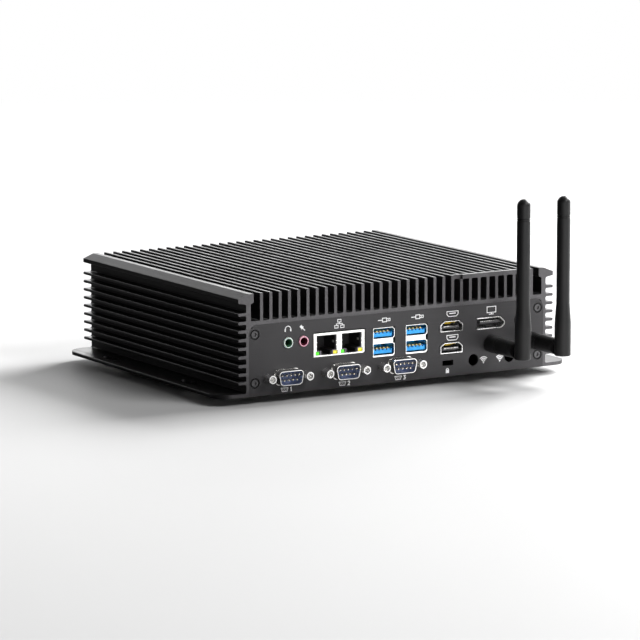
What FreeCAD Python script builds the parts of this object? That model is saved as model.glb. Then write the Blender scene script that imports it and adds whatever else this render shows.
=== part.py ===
import FreeCAD, Part
import math
import os
import Sketcher
from FreeCAD import Placement, Rotation, Vector

# A fanless industrial computer: one finned aluminium extrusion with mounting
# flanges, closed by two end panels and a bottom cover, with its board, ports,
# two jointed rod antennas and a power button.
#
# Row frame: +X to the right seen from the port side, +Y into the box, +Z up.
# The origin is the centre of the overall footprint on the plane the feet stand on.
# Every piece is drawn in the housing frame (x from the plane of symmetry, y from
# the port panel's face, z from the underside of the flanges) and then seated.

os.makedirs("parts", exist_ok=True)
doc = FreeCAD.newDocument("FanlessIndustrialComputer")
sheet = doc.addObject("Spreadsheet::Sheet", "dims")


# ------------------------------------------------------------------ dimensions
class Size:
    """A length in mm, with the sheet expression that gives it."""

    def __init__(self, value, text):
        self.value, self.text = float(value), text

    def __add__(self, other):
        return joined(self, "+", other)

    def __radd__(self, other):
        return joined(other, "+", self)

    def __sub__(self, other):
        return joined(self, "-", other)

    def __rsub__(self, other):
        return joined(other, "-", self)

    def __mul__(self, other):
        return joined(self, "*", other)

    def __rmul__(self, other):
        return joined(other, "*", self)

    def __truediv__(self, other):
        return joined(self, "/", other)

    def __neg__(self):
        return joined(-1.0, "*", self)


def size(v):
    if isinstance(v, Size):
        return v
    text = "%.6f" % abs(v)
    return Size(v, "(-%s)" % text if v < 0 else text)


def joined(a, sign, b):
    a, b = size(a), size(b)
    value = {
        "+": a.value + b.value,
        "-": a.value - b.value,
        "*": a.value * b.value,
        "/": a.value / b.value if b.value else 0.0,
    }[sign]
    return Size(value, "(%s %s %s)" % (a.text, sign, b.text))


class Dims:
    pass


D = Dims()
TABLE = [
    # housing
    ("body_depth", 190.5, "length of the extrusion"),
    ("panel_wide", 202.7, "width of the end panels"),
    ("panel_high", 41.6, "height of the end panels"),
    ("panel_thick", 2.0, "thickness of the end panels"),
    ("panel_corner", 5.8, "upper corner radius of the end panels"),
    ("panel_gap", 0.1, "clearance round an end panel"),
    ("wall_face", 103.15, "outer face of a side wall from the middle"),
    ("wall_inner", 100.15, "inner face of a side wall from the middle"),
    ("roof_under", 40.9, "underside of the top plate"),
    ("fin_floor", 43.9, "upper side of the top plate"),
    ("fin_top", 60.0, "tips of the top fins"),
    ("fin_pitch", 6.2, "pitch of the top fins"),
    ("fin_thick", 1.9, "thickness of a top fin"),
    ("fin_root", 0.9, "root radius of a top fin"),
    ("fin_count", 31, "number of top fins"),
    ("side_pitch", 5.0, "pitch of the side fins"),
    ("side_thick", 1.75, "thickness of a side fin"),
    ("side_low", 8.2, "height of the lowest side fin"),
    ("side_tip", 108.35, "tips of the side fins from the middle"),
    ("side_count", 9, "side fins on each side"),
    ("flange_edge", 121.35, "outer edge of a flange from the middle"),
    ("flange_thick", 2.1, "thickness of a flange"),
    ("flange_corner", 12.0, "corner radius of a flange in plan"),
    ("slot_line", 112.35, "flange slots from the middle"),
    ("slot_first", 50.0, "first flange slot from the front"),
    ("slot_span", 97.6, "distance between the slots of a flange"),
    ("slot_long", 19.5, "length of a flange slot"),
    ("slot_wide", 4.7, "width of a flange slot"),
    ("slot_eye", 8.8, "diameter of the eye in a flange slot"),
    ("ledge_inner", 92.2, "inner face of the bottom ledge from the middle"),
    ("ledge_top", 11.4, "top of the bottom ledge"),
    ("screw_line", 97.5, "panel screws from the middle"),
    ("screw_low", 7.64, "lower panel screws"),
    ("screw_high", 35.94, "upper panel screws"),
    ("screw_shank", 3.0, "shank diameter of panel and cover screws"),
    ("screw_head", 5.3, "head diameter of the panel screws"),
    ("screw_pocket", 6.2, "counterbore diameter of the panel screws"),
    ("cover_thick", 2.0, "thickness of the bottom cover"),
    ("cover_half", 99.95, "half width of the bottom cover"),
    ("cover_line", 94.3, "bottom cover screws from the middle"),
    ("foot_high", 5.0, "height of a rubber foot"),
    ("foot_wide", 14.0, "diameter of a rubber foot"),
    ("foot_line", 85.0, "rubber feet from the middle"),
    ("foot_front", 34.0, "front feet from the front"),
    ("foot_back", 156.5, "rear feet from the front"),
    ("front_face", -76.6, "front face in the row frame"),
    # board
    ("board_low", 33.6, "underside of the mainboard"),
    ("board_thick", 1.6, "thickness of the mainboard"),
    ("board_half", 92.5, "half width of the mainboard"),
    ("board_front", 3.0, "front edge of the mainboard"),
    ("board_back", 170.0, "rear edge of the mainboard"),
    # serial ports
    ("serial_first", -76.4, "first serial port from the middle"),
    ("serial_pitch", 38.6, "pitch of the serial ports"),
    ("serial_z", 9.75, "height of the serial ports"),
    ("serial_out", 5.9, "serial shell standing out of the panel"),
    ("jack_span", 24.99, "distance between the jack screws of a port"),
    ("jack_flats", 4.76, "width across flats of a jack screw"),
    ("jack_out", 6.0, "jack screw standing out of the panel"),
    # sockets
    ("audio_z", 29.5, "height of the audio sockets"),
    ("headphone_x", -75.45, "headphone socket"),
    ("microphone_x", -65.15, "microphone socket"),
    ("net_x", -41.25, "double network socket"),
    ("net_half", 17.2, "half width of the network shield"),
    ("net_low", 19.5, "bottom of the network shield"),
    ("net_high", 33.2, "top of the network shield"),
    ("net_port", 8.5, "network openings from the socket's middle"),
    ("usb_first", -10.75, "first stacked socket"),
    ("usb_pitch", 22.6, "pitch of the stacked sockets"),
    ("usb_half", 7.4, "half width of a stacked socket"),
    ("usb_low", 15.9, "bottom of a stacked socket"),
    ("usb_high", 33.0, "top of a stacked socket"),
    ("screen_x", 36.35, "pair of monitor sockets"),
    ("screen_low", 16.9, "lower monitor socket"),
    ("screen_high", 29.9, "upper monitor socket"),
    ("display_x", 64.05, "display socket"),
    ("display_z", 29.65, "height of the display socket"),
    ("lock_x", 34.05, "lock slot"),
    ("hole_first", 52.05, "first spare antenna hole"),
    ("hole_second", 77.45, "second spare antenna hole"),
    ("hole_z", 8.3, "height of the spare antenna holes"),
    ("hole_wide", 7.0, "diameter of an antenna hole"),
    ("inlet_x", 84.85, "power inlet"),
    ("inlet_z", 29.5, "height of the power inlet"),
    # antennas
    ("antenna_left", 63.95, "left antenna from the middle"),
    ("antenna_right", 92.15, "right antenna from the middle"),
    ("antenna_z", 17.0, "height of the antenna barrels"),
    ("antenna_reach", 34.7, "whip axis in front of the panel"),
    ("barrel_r", 5.0, "radius of collar and knuckle"),
    ("collar_long", 11.0, "length of the collar"),
    ("whip_low_r", 4.85, "radius of the whip's lower part"),
    ("whip_top_r", 4.0, "radius of the whip's upper part"),
    ("whip_foot", 4.55, "whip below its pivot"),
    ("whip_high", 90.5, "whip above its pivot"),
    ("swivel_r", 3.2, "radius of the knuckle's swivel shaft"),
    ("tongue_half", 2.3, "half thickness of the knuckle's tongue"),
    ("trunnion_r", 1.2, "radius of the knuckle's trunnions"),
    ("run_gap", 0.05, "radial running clearance"),
    # power button
    ("button_x", 70.0, "power button from the middle"),
    ("button_z", 20.8, "height of the power button"),
    ("button_r", 4.7, "radius of the button cap"),
]
for number, (alias, value, words) in enumerate(TABLE, 1):
    sheet.set("A%d" % number, words)
    sheet.set("B%d" % number, "%g" % value)
    sheet.setAlias("B%d" % number, alias)
    setattr(D, alias, Size(value, "dims." + alias))
doc.recompute()


def bind(obj, prop, amount):
    """Give a property its size, and tie it to the sheet where the size comes from there."""
    amount = size(amount)
    if "." not in prop:
        setattr(obj, prop, amount.value)
    if "dims." in amount.text:
        obj.setExpression(prop, amount.text)


NODES = {}


def node(label, obj):
    obj.Label = label
    NODES[label] = obj
    return obj


def seat(obj, dx=0.0, dy=0.0, dz=0.0):
    """Move a finished piece from the housing frame to the row frame."""
    if obj.TypeId in ("Part::Box", "Part::Cylinder"):
        obj = group([obj])
    x, y, z = size(dx), D.front_face + dy, D.foot_high + dz
    obj.Placement = Placement(Vector(x.value, y.value, z.value), Rotation())
    bind(obj, "Placement.Base.x", x)
    bind(obj, "Placement.Base.y", y)
    bind(obj, "Placement.Base.z", z)
    return obj


# ------------------------------------------------------------- sketch helpers
def new_body(name):
    return doc.addObject("PartDesign::Body", name)


def origin_part(body, role):
    return [f for f in body.Origin.OriginFeatures if f.Role == role][0]


class Sketch:
    """A fully held sketch on one of its body's origin planes, `start` along that plane's axis."""

    def __init__(self, body, role, start=0.0):
        self.obj = body.newObject("Sketcher::SketchObject", body.Name + "_sketch")
        self.obj.AttachmentSupport = [(origin_part(body, role), "")]
        self.obj.MapMode = "FlatFace"
        offset = -size(start) if role == "XZ_Plane" else size(start)
        if offset.value or "dims." in offset.text:
            self.obj.AttachmentOffset = Placement(Vector(0, 0, offset.value), Rotation())
            bind(self.obj, "AttachmentOffset.Base.z", offset)
        self.rules, self.held = [], []

    def add(self, geometry, construction=False):
        return self.obj.addGeometry(geometry, construction)

    def rule(self, *args):
        self.rules.append(Sketcher.Constraint(*args))

    def measure(self, kind, *args):
        """A dimension: kind, where, and its size."""
        amount = size(args[-1])
        if "dims." in amount.text:
            self.held.append((len(self.rules), amount.text))
        self.rules.append(Sketcher.Constraint(kind, *args[:-1], amount.value))

    def finish(self):
        """Put every constraint into the sketch, and tie its dimensions to the sheet."""
        self.obj.addConstraint(self.rules)
        for number, (index, text) in enumerate(self.held, 1):
            self.obj.renameConstraint(index, "held%d" % number)
            self.obj.setExpression("Constraints.held%d" % number, text)
        self.rules, self.held = [], []
        return self.obj

    def place(self, geo, pos, x, y):
        x, y = size(x), size(y)
        if abs(x.value) < 1e-9 and "dims." not in x.text:
            self.rule("PointOnObject", geo, pos, -2)
        else:
            self.measure("DistanceX", -1, 1, geo, pos, x)
        if abs(y.value) < 1e-9 and "dims." not in y.text:
            self.rule("PointOnObject", geo, pos, -1)
        else:
            self.measure("DistanceY", -1, 1, geo, pos, y)

    def circle(self, x, y, r):
        x, y, r = size(x), size(y), size(r)
        c = self.add(Part.Circle(Vector(x.value, y.value, 0), Vector(0, 0, 1), r.value))
        self.place(c, 3, x, y)
        self.measure("Radius", c, r)
        return self

    def slot(self, x, y, long, wide):
        """A round-ended slot along the sketch's second axis."""
        x, y, long, wide = size(x), size(y), size(long), size(wide)
        r, half = wide / 2.0, (long - wide) / 2.0
        n = Vector(0, 0, 1)
        up, dn = Vector(x.value, y.value + half.value, 0), Vector(x.value, y.value - half.value, 0)
        side = Vector(r.value, 0, 0)
        a = self.add(Part.ArcOfCircle(Part.Circle(up, n, r.value), 0, math.pi))
        b = self.add(Part.LineSegment(up - side, dn - side))
        c = self.add(Part.ArcOfCircle(Part.Circle(dn, n, r.value), math.pi, 2 * math.pi))
        d = self.add(Part.LineSegment(dn + side, up + side))
        self.rule("Tangent", a, 2, b, 1)
        self.rule("Tangent", b, 2, c, 1)
        self.rule("Tangent", c, 2, d, 1)
        self.rule("Tangent", d, 2, a, 1)
        self.rule("Equal", a, c)
        self.measure("Radius", a, r)
        self.place(a, 3, x, y + half)
        self.place(c, 3, x, y - half)
        return self

    def outline(self, points):
        """A closed outline. Each point is (x, y) or (x, y, corner radius)."""
        pts = [(size(p[0]), size(p[1]), size(p[2]) if len(p) > 2 else size(0.0)) for p in points]
        n = len(pts)
        flat = [Vector(p[0].value, p[1].value, 0) for p in pts]
        ends = []
        for i in range(n):
            r = pts[i][2].value
            if r <= 0:
                ends.append((flat[i], flat[i], None))
                continue
            before = (flat[i] - flat[i - 1]).normalize()
            after = (flat[(i + 1) % n] - flat[i]).normalize()
            turn = math.atan2(before.x * after.y - before.y * after.x, before.dot(after))
            cut = r * math.tan(abs(turn) / 2.0)
            start, stop = flat[i] - before * cut, flat[i] + after * cut
            left = Vector(-before.y, before.x, 0) * (1 if turn > 0 else -1)
            centre = start + left * r
            a0 = math.atan2(start.y - centre.y, start.x - centre.x)
            a1 = math.atan2(stop.y - centre.y, stop.x - centre.x)
            if turn < 0:
                a0, a1 = a1, a0
            while a1 < a0:
                a1 += 2 * math.pi
            ends.append((start, stop, (Part.ArcOfCircle(Part.Circle(centre, Vector(0, 0, 1), r), a0, a1), turn > 0)))
        lines = [self.add(Part.LineSegment(ends[i][1], ends[(i + 1) % n][0])) for i in range(n)]
        for i in range(n):
            x, y, r = pts[i]
            before, after = lines[i - 1], lines[i]
            if ends[i][2] is None:
                self.rule("Coincident", before, 2, after, 1)
                self.place(after, 1, x, y)
                continue
            arc_geo, left_turn = ends[i][2]
            arc = self.add(arc_geo)
            first, last = (1, 2) if left_turn else (2, 1)
            corner = self.add(Part.Point(flat[i]), True)
            self.rule("Tangent", before, 2, arc, first)
            self.rule("Tangent", arc, last, after, 1)
            self.rule("PointOnObject", corner, 1, before)
            self.rule("PointOnObject", corner, 1, after)
            self.place(corner, 1, x, y)
            self.measure("Radius", arc, r)
        return self

    def rect(self, x0, x1, y0, y1, r=0.0):
        return self.outline([(x0, y0, r), (x1, y0, r), (x1, y1, r), (x0, y1, r)])


def settle(body, feature, what):
    body.Tip = feature
    doc.recompute()
    if "Invalid" in feature.State or "Error" in feature.State or feature.Shape.isNull():
        raise RuntimeError("%s of %s failed" % (what, body.Name))
    return feature


def pad(body, sketch, role, length):
    """Material from the sketch along +X, +Y or +Z."""
    f = body.newObject("PartDesign::Pad", body.Name + "_pad")
    f.Profile = sketch.finish()
    bind(f, "Length", length)
    f.Reversed = role == "XZ_Plane"
    return settle(body, f, "pad")


def pocket(body, sketch, role, length):
    """Cut from the sketch along +X, +Y or +Z; it must take material away."""
    before = body.Shape.Volume
    f = body.newObject("PartDesign::Pocket", body.Name + "_pocket")
    f.Profile = sketch.finish()
    bind(f, "Length", length)
    f.Reversed = role != "XZ_Plane"
    settle(body, f, "pocket")
    if body.Shape.Volume >= before - 1e-6:
        raise RuntimeError("a pocket of %s cuts nothing" % body.Name)
    return f


def slab(name, role, start, length, draw):
    """A body whose first feature is a pad of one sketch."""
    body = new_body(name)
    sk = Sketch(body, role, start)
    draw(sk)
    pad(body, sk, role, length)
    return body


def add_slab(body, role, start, length, draw):
    sk = Sketch(body, role, start)
    draw(sk)
    return pad(body, sk, role, length)


def cut_slab(body, role, start, length, draw):
    sk = Sketch(body, role, start)
    draw(sk)
    return pocket(body, sk, role, length)


def turned(name, points, axis="Y", cut=False, body=None):
    """A body turned from a half outline of (along, radius) points about its own X, Y or Z axis."""
    body = body or new_body(name)
    role = {"Y": "YZ_Plane", "Z": "XZ_Plane", "X": "XY_Plane"}[axis]
    sk = Sketch(body, role)
    if axis == "Z":
        sk.outline([(p[1], p[0]) + tuple(p[2:]) for p in points])
    else:
        sk.outline(points)
    before = body.Shape.Volume if cut else 0.0
    f = body.newObject("PartDesign::Groove" if cut else "PartDesign::Revolution", body.Name + "_turned")
    f.Profile = sk.finish()
    f.ReferenceAxis = (sk.obj, ["V_Axis"] if axis == "Z" else ["H_Axis"])
    f.Angle = 360
    settle(body, f, "turning")
    if cut and body.Shape.Volume >= before - 1e-6:
        raise RuntimeError("a groove of %s cuts nothing" % body.Name)
    return body


def repeat(body, features, direction, length, count):
    """A linear pattern along X, Y or Z of the body."""
    f = body.newObject("PartDesign::LinearPattern", body.Name + "_pattern")
    f.Originals = features
    f.Direction = (origin_part(body, direction + "_Axis"), [""])
    bind(f, "Length", length)
    count = size(count)
    f.Occurrences = int(count.value)
    if "dims." in count.text:
        f.setExpression("Occurrences", count.text)
    return settle(body, f, "pattern")


def repeat_cut(body, features, direction, length, count):
    before = body.Shape.Volume
    f = repeat(body, features, direction, length, count)
    if body.Shape.Volume >= before - 1e-6:
        raise RuntimeError("a pattern of %s cuts nothing" % body.Name)
    return f


# ------------------------------------------------------- primitives and booleans
def put(obj, x, y, z, axis="Z"):
    x, y, z = size(x), size(y), size(z)
    turn = {
        "Z": Rotation(),
        "Y": Rotation(Vector(1, 0, 0), -90),
        "X": Rotation(Vector(0, 1, 0), 90),
    }[axis]
    obj.Placement = Placement(Vector(x.value, y.value, z.value), turn)
    bind(obj, "Placement.Base.x", x)
    bind(obj, "Placement.Base.y", y)
    bind(obj, "Placement.Base.z", z)
    return obj


def box(x0, x1, y0, y1, z0, z1):
    b = doc.addObject("Part::Box", "block")
    bind(b, "Length", size(x1) - x0)
    bind(b, "Width", size(y1) - y0)
    bind(b, "Height", size(z1) - z0)
    return put(b, x0, y0, z0)


def rod(axis, x, y, z, r, length):
    c = doc.addObject("Part::Cylinder", "rod")
    bind(c, "Radius", r)
    bind(c, "Height", length)
    return put(c, x, y, z, axis)


def fused(pieces):
    if len(pieces) == 1:
        return pieces[0]
    f = doc.addObject("Part::MultiFuse", "fused")
    f.Shapes = pieces
    return f


def less(base, tools):
    c = doc.addObject("Part::Cut", "cut")
    c.Base = base
    c.Tool = fused(tools)
    return c


def group(pieces):
    g = doc.addObject("Part::Compound", "group")
    g.Links = pieces
    return g


# =============================================================== the extrusion
def mirror_outline(right):
    """Right half from the inner roof round to the outer top, plus its mirror."""
    left = [(-size(p[0]),) + tuple(p[1:]) for p in right]
    return right + left[::-1]


half_panel = D.panel_wide / 2.0
extrusion = slab(
    "chassis",
    "XZ_Plane",
    0.0,
    D.body_depth,
    lambda s: s.outline(
        mirror_outline(
            [
                (D.wall_inner, D.roof_under, 1.5),
                (D.wall_inner, D.ledge_top, 0.8),
                (D.ledge_inner, D.ledge_top, 0.6),
                (D.ledge_inner, D.cover_thick),
                (D.wall_inner, D.cover_thick),
                (D.wall_inner, 0.0),
                (D.flange_edge, 0.0, 0.3),
                (D.flange_edge, D.flange_thick, 0.5),
                (D.wall_face, D.flange_thick, 1.0),
                (D.wall_face, 54.0, 1.0),
                (D.side_tip, 54.8, 0.7),
                (D.side_tip, 57.3, 0.7),
                (101.6, 59.9, 0.8),
                (98.15, 59.9, 0.4),
                (98.15, 54.9, 0.4),
                (D.wall_inner, 53.9, 0.5),
                (D.wall_inner, D.fin_floor, 1.0),
            ]
        )
    ),
)


# Upper screw ports, grown out of the walls over the whole length.
def upper_ports(s):
    s.circle(D.screw_line, D.screw_high, 3.75)
    s.circle(-D.screw_line, D.screw_high, 3.75)


add_slab(extrusion, "XZ_Plane", 0.0, D.body_depth, upper_ports)

# Both ends are milled to take an end panel flush with the fins.
def panel_seat(s):
    half = half_panel + D.panel_gap
    top = D.panel_high + D.panel_gap
    s.outline(
        [
            (-half, -1.0),
            (half, -1.0),
            (half, top, D.panel_corner + D.panel_gap),
            (-half, top, D.panel_corner + D.panel_gap),
        ]
    )


cut_slab(extrusion, "XZ_Plane", 0.0, D.panel_thick, panel_seat)
cut_slab(extrusion, "XZ_Plane", D.body_depth - D.panel_thick, D.panel_thick, panel_seat)


# Holes for the panel screws run the whole length of the ports.
def panel_holes(radius):
    def draw(s):
        for x in (D.screw_line, -D.screw_line):
            for z in (D.screw_low, D.screw_high):
                s.circle(x, z, radius)

    return draw


cut_slab(extrusion, "XZ_Plane", 0.0, D.body_depth, panel_holes(D.screw_shank / 2.0 + D.run_gap))

# Flange slots with a round eye, holes for the cover screws, and blind holes for the board posts.
SLOT_ROWS = (D.slot_first, D.slot_first + D.slot_span)


def flange_slots(s):
    for x in (D.slot_line, -D.slot_line):
        for y in SLOT_ROWS:
            s.slot(x, y, D.slot_long, D.slot_wide)


def flange_eyes(s):
    for x in (D.slot_line, -D.slot_line):
        for y in SLOT_ROWS:
            s.circle(x, y, D.slot_eye / 2.0)


cut_slab(extrusion, "XY_Plane", -0.5, D.flange_thick + 1.0, flange_slots)
cut_slab(extrusion, "XY_Plane", -0.5, D.flange_thick + 1.0, flange_eyes)
COVER_ROWS = (14.0, D.body_depth / 2.0, D.body_depth - 14.0)


def cover_holes(radius):
    def draw(s):
        for x in (D.cover_line, -D.cover_line):
            for y in COVER_ROWS:
                s.circle(x, y, radius)

    return draw


cut_slab(extrusion, "XY_Plane", D.cover_thick - 0.2, 6.4, cover_holes(D.screw_shank / 2.0 + D.run_gap))
POSTS = [(-86.0, 26.0), (0.0, 26.0), (86.0, 26.0), (-86.0, 160.0), (0.0, 160.0), (86.0, 160.0)]


def at_posts(radius):
    def draw(s):
        for x, y in POSTS:
            s.circle(x, y, radius)

    return draw


cut_slab(extrusion, "XY_Plane", D.roof_under - 0.2, 2.4, at_posts(1.55))


# The four flange corners are cut round in plan.
def flange_corners(s):
    r = D.flange_corner
    for side in (1.0, -1.0):
        for end, away in ((size(0.0), 1.0), (D.body_depth, -1.0)):
            s.outline(
                [
                    (D.flange_edge * side, end, r),
                    (D.flange_edge * side, end + (r + 1.0) * away),
                    ((D.flange_edge + 1.0) * side, end + (r + 1.0) * away),
                    ((D.flange_edge + 1.0) * side, end - 1.0 * away),
                    ((D.flange_edge - r - 1.0) * side, end - 1.0 * away),
                    ((D.flange_edge - r - 1.0) * side, end),
                ]
            )


cut_slab(extrusion, "XY_Plane", -0.5, D.flange_thick + 1.0, flange_corners)

# Top fins with round roots, and the fins of both sides.
half_fin = D.fin_thick / 2.0
first_fin = -(D.fin_pitch * ((D.fin_count - 1) / 2.0))


def top_fin(s):
    base = half_fin + D.fin_root + 0.05
    s.outline(
        [
            (first_fin - base, D.fin_floor - 0.6),
            (first_fin + base, D.fin_floor - 0.6),
            (first_fin + base, D.fin_floor),
            (first_fin + half_fin, D.fin_floor, D.fin_root),
            (first_fin + half_fin, D.fin_top, 0.35),
            (first_fin - half_fin, D.fin_top, 0.35),
            (first_fin - half_fin, D.fin_floor, D.fin_root),
            (first_fin - base, D.fin_floor),
        ]
    )


fin = add_slab(extrusion, "XZ_Plane", 0.0, D.body_depth, top_fin)
repeat(extrusion, [fin], "X", D.fin_pitch * (D.fin_count - 1), D.fin_count)


def side_fins(s):
    half, root = D.side_thick / 2.0, 0.9
    for side in (1.0, -1.0):
        low, high = D.side_low - half, D.side_low + half
        s.outline(
            [
                ((D.wall_face - 0.6) * side, low - root - 0.05),
                (D.wall_face * side, low - root - 0.05),
                (D.wall_face * side, low, root),
                (D.side_tip * side, low, 0.8),
                (D.side_tip * side, high, 0.8),
                (D.wall_face * side, high, root),
                (D.wall_face * side, high + root + 0.05),
                ((D.wall_face - 0.6) * side, high + root + 0.05),
            ]
        )


fin = add_slab(extrusion, "XZ_Plane", 0.0, D.body_depth, side_fins)
repeat(extrusion, [fin], "Z", D.side_pitch * (D.side_count - 1), D.side_count)

# A bar left across the tips of the last ten fins at the port end, with a round-cornered
# window under it between each two fins, and a shallow step at its inner end.
bar_from = D.fin_pitch * 6.0 + half_fin - 0.4
bar_to = D.fin_pitch * 15.0 - half_fin + 0.4
add_slab(
    extrusion, "XZ_Plane", 0.0, 3.0,
    lambda s: s.rect(bar_from, bar_to, D.fin_top - 4.5, D.fin_top, 0.0),
)
window = cut_slab(
    extrusion, "XZ_Plane", 0.0, 3.2,
    lambda s: s.outline(
        [
            (D.fin_pitch * 6.0 + half_fin, D.fin_top - 4.7),
            (D.fin_pitch * 7.0 - half_fin, D.fin_top - 4.7),
            (D.fin_pitch * 7.0 - half_fin, D.fin_top - 2.5, 0.8),
            (D.fin_pitch * 6.0 + half_fin, D.fin_top - 2.5, 0.8),
        ]
    ),
)
repeat_cut(extrusion, [window], "X", D.fin_pitch * 8.0, 9)
cut_slab(
    extrusion, "XZ_Plane", 0.0, 1.6,
    lambda s: s.rect(
        D.fin_pitch * 6.0 + half_fin, D.fin_pitch * 7.0 + half_fin - 0.2,
        D.fin_top - 2.6, D.fin_top + 1.0,
    ),
)


node("chassis_extrusion", seat(extrusion))


# =============================================================== the end panels
def panel_outline(s):
    s.outline(
        [
            (-half_panel, 0.0),
            (half_panel, 0.0),
            (half_panel, D.panel_high, D.panel_corner),
            (-half_panel, D.panel_high, D.panel_corner),
        ]
    )


def dsub(s, x, z, grow=0.0):
    """The D outline of a 9-way serial port, its long side up."""
    top, low, half = 8.5 + grow, 7.0 + grow, 4.25 + grow
    r = 2.3 + grow
    s.outline([(x - low, z - half, r), (x + low, z - half, r), (x + top, z + half, r), (x - top, z + half, r)])


def screen(s, x, z, grow=0.0):
    """The outline of a monitor socket, its narrow side up."""
    w, b, t = 7.7 + grow, 3.15 + grow, 5.1 + grow * 0.6
    s.outline(
        [
            (x - w, z - b, 0.5), (x + w, z - b, 0.5), (x + w, z + 1.0 + grow * 0.4, 0.4),
            (x + t, z + b, 0.4), (x - t, z + b, 0.4), (x - w, z + 1.0 + grow * 0.4, 0.4),
        ]
    )


def display(s, x, z, grow=0.0):
    """The outline of the display socket, cut away at its right end."""
    w, b = 9.6 + grow, 3.4 + grow
    s.outline(
        [
            (x - w, z - b, 0.2), (x + w - 2.2, z - b, 0.2), (x + w, z - b + 1.7, 0.2),
            (x + w, z + 0.3, 0.2), (x + w - 3.0, z + b, 0.2), (x - w, z + b, 0.2),
        ]
    )


SERIAL_X = [D.serial_first + D.serial_pitch * i for i in (0.0, 1.0, 2.0)]
USB_X = [D.usb_first, D.usb_first + D.usb_pitch]

io_panel = slab("io_panel_body", "XZ_Plane", 0.0, D.panel_thick, panel_outline)


def io_round_holes(s):
    for x in (D.screw_line, -D.screw_line):
        for z in (D.screw_low, D.screw_high):
            s.circle(x, z, 1.7)
    for x in SERIAL_X:
        s.circle(x - D.jack_span / 2.0, D.serial_z, 1.6)
        s.circle(x + D.jack_span / 2.0, D.serial_z, 1.6)
    s.circle(D.headphone_x, D.audio_z, 3.35)
    s.circle(D.microphone_x, D.audio_z, 3.35)
    s.circle(D.hole_first, D.hole_z, D.hole_wide / 2.0)
    s.circle(D.hole_second, D.hole_z, D.hole_wide / 2.0)
    s.circle(D.antenna_left, D.antenna_z, D.hole_wide / 2.0)
    s.circle(D.antenna_right, D.antenna_z, D.hole_wide / 2.0)
    s.circle(D.inlet_x, D.inlet_z, 4.1)


def io_shaped_holes(s):
    for x in SERIAL_X:
        dsub(s, x, D.serial_z, 0.35)
    s.outline(
        [
            (D.net_x - D.net_half - 0.2, D.net_low - 0.2, 0.3), (D.net_x + D.net_half + 0.8, D.net_low - 0.2, 1.4),
            (D.net_x + D.net_half + 0.8, D.net_high + 0.6, 0.5), (D.net_x - D.net_half - 0.2, D.net_high + 0.6, 0.5),
        ]
    )
    for x in USB_X:
        s.rect(x - D.usb_half - 0.2, x + D.usb_half + 0.7, D.usb_low - 0.2, D.usb_high + 0.2, 0.5)
    screen(s, D.screen_x, D.screen_low, 0.35)
    screen(s, D.screen_x, D.screen_high, 0.35)
    display(s, D.display_x, D.display_z, 0.35)
    s.rect(D.lock_x - 3.8, D.lock_x + 3.8, D.hole_z - 0.3 - 1.6, D.hole_z - 0.3 + 1.6, 0.3)


cut_slab(io_panel, "XZ_Plane", 0.0, D.panel_thick, io_round_holes)
cut_slab(io_panel, "XZ_Plane", 0.0, D.panel_thick, io_shaped_holes)
cut_slab(io_panel, "XZ_Plane", 0.0, 1.3, panel_holes(D.screw_pocket / 2.0))
node("io_panel", seat(io_panel))

power_panel = slab("power_panel_body", "XZ_Plane", D.body_depth - D.panel_thick, D.panel_thick, panel_outline)


def power_holes(s):
    panel_holes(1.7)(s)
    s.circle(D.button_x, D.button_z, 6.0)
    s.circle(D.button_x - 16.0, D.button_z, 1.6)


cut_slab(power_panel, "XZ_Plane", D.body_depth - D.panel_thick, D.panel_thick, power_holes)
cut_slab(power_panel, "XZ_Plane", D.body_depth - 1.3, 1.3, panel_holes(D.screw_pocket / 2.0))
node("power_panel", seat(power_panel))


# Panel screws: low flat heads with a six-lobe socket, four in each end panel.
def lobes(r):
    """A six-lobe recess drawn as a twelve-point star with round points, about the screw's axis."""
    pts = []
    for i in range(12):
        a = math.radians(30.0 * i)
        rr = r if i % 2 == 0 else r * 0.72
        pts.append((rr * math.cos(a), rr * math.sin(a), 0.12 if i % 2 == 0 else 0.1))
    return pts


def screw(name, axis_role, head_r, head_h, shank_r, shank_l, socket_r, socket_h):
    """A screw along +Y or +Z with its head's outer face at 0 and its shank beyond."""
    body = slab(name, axis_role, 0.0, head_h, lambda s: s.circle(0.0, 0.0, head_r))
    add_slab(body, axis_role, size(head_h) - 0.01, size(shank_l) + 0.01, lambda s: s.circle(0.0, 0.0, shank_r))
    cut_slab(body, axis_role, 0.0, socket_h, lambda s: s.outline(lobes(socket_r)))
    return body


def placed(body, places):
    """The same piece at several places."""
    out = []
    for x, y, z in places:
        link = doc.addObject("App::Link", body.Name + "_at")
        link.LinkedObject = body
        link.LinkTransform = False
        x, y, z = size(x), size(y), size(z)
        link.Placement = Placement(Vector(x.value, y.value, z.value), Rotation())
        bind(link, "Placement.Base.x", x)
        bind(link, "Placement.Base.y", y)
        bind(link, "Placement.Base.z", z)
        out.append(link)
    return out


def copies(body, places):
    """The same piece at several places, as separate solids of one node."""
    return group(placed(body, places))


panel_screw = screw("panel_screw", "XZ_Plane", D.screw_head / 2.0, 1.2, D.screw_shank / 2.0, 8.0, 1.35, 0.8)
PANEL_SCREWS = [(x, z) for x in (-D.screw_line, D.screw_line) for z in (D.screw_low, D.screw_high)]
back_screw = new_body("back_screw")
add_slab(back_screw, "XZ_Plane", -1.2, 1.2, lambda s: s.circle(0.0, 0.0, D.screw_head / 2.0))
add_slab(back_screw, "XZ_Plane", -9.2, 8.01, lambda s: s.circle(0.0, 0.0, D.screw_shank / 2.0))
cut_slab(back_screw, "XZ_Plane", -0.8, 0.8, lambda s: s.outline(lobes(1.35)))
node("panel_screws", seat(group(
    placed(panel_screw, [(x, 0.1, z) for x, z in PANEL_SCREWS])
    + placed(back_screw, [(x, D.body_depth - 0.1, z) for x, z in PANEL_SCREWS])
)))

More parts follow.
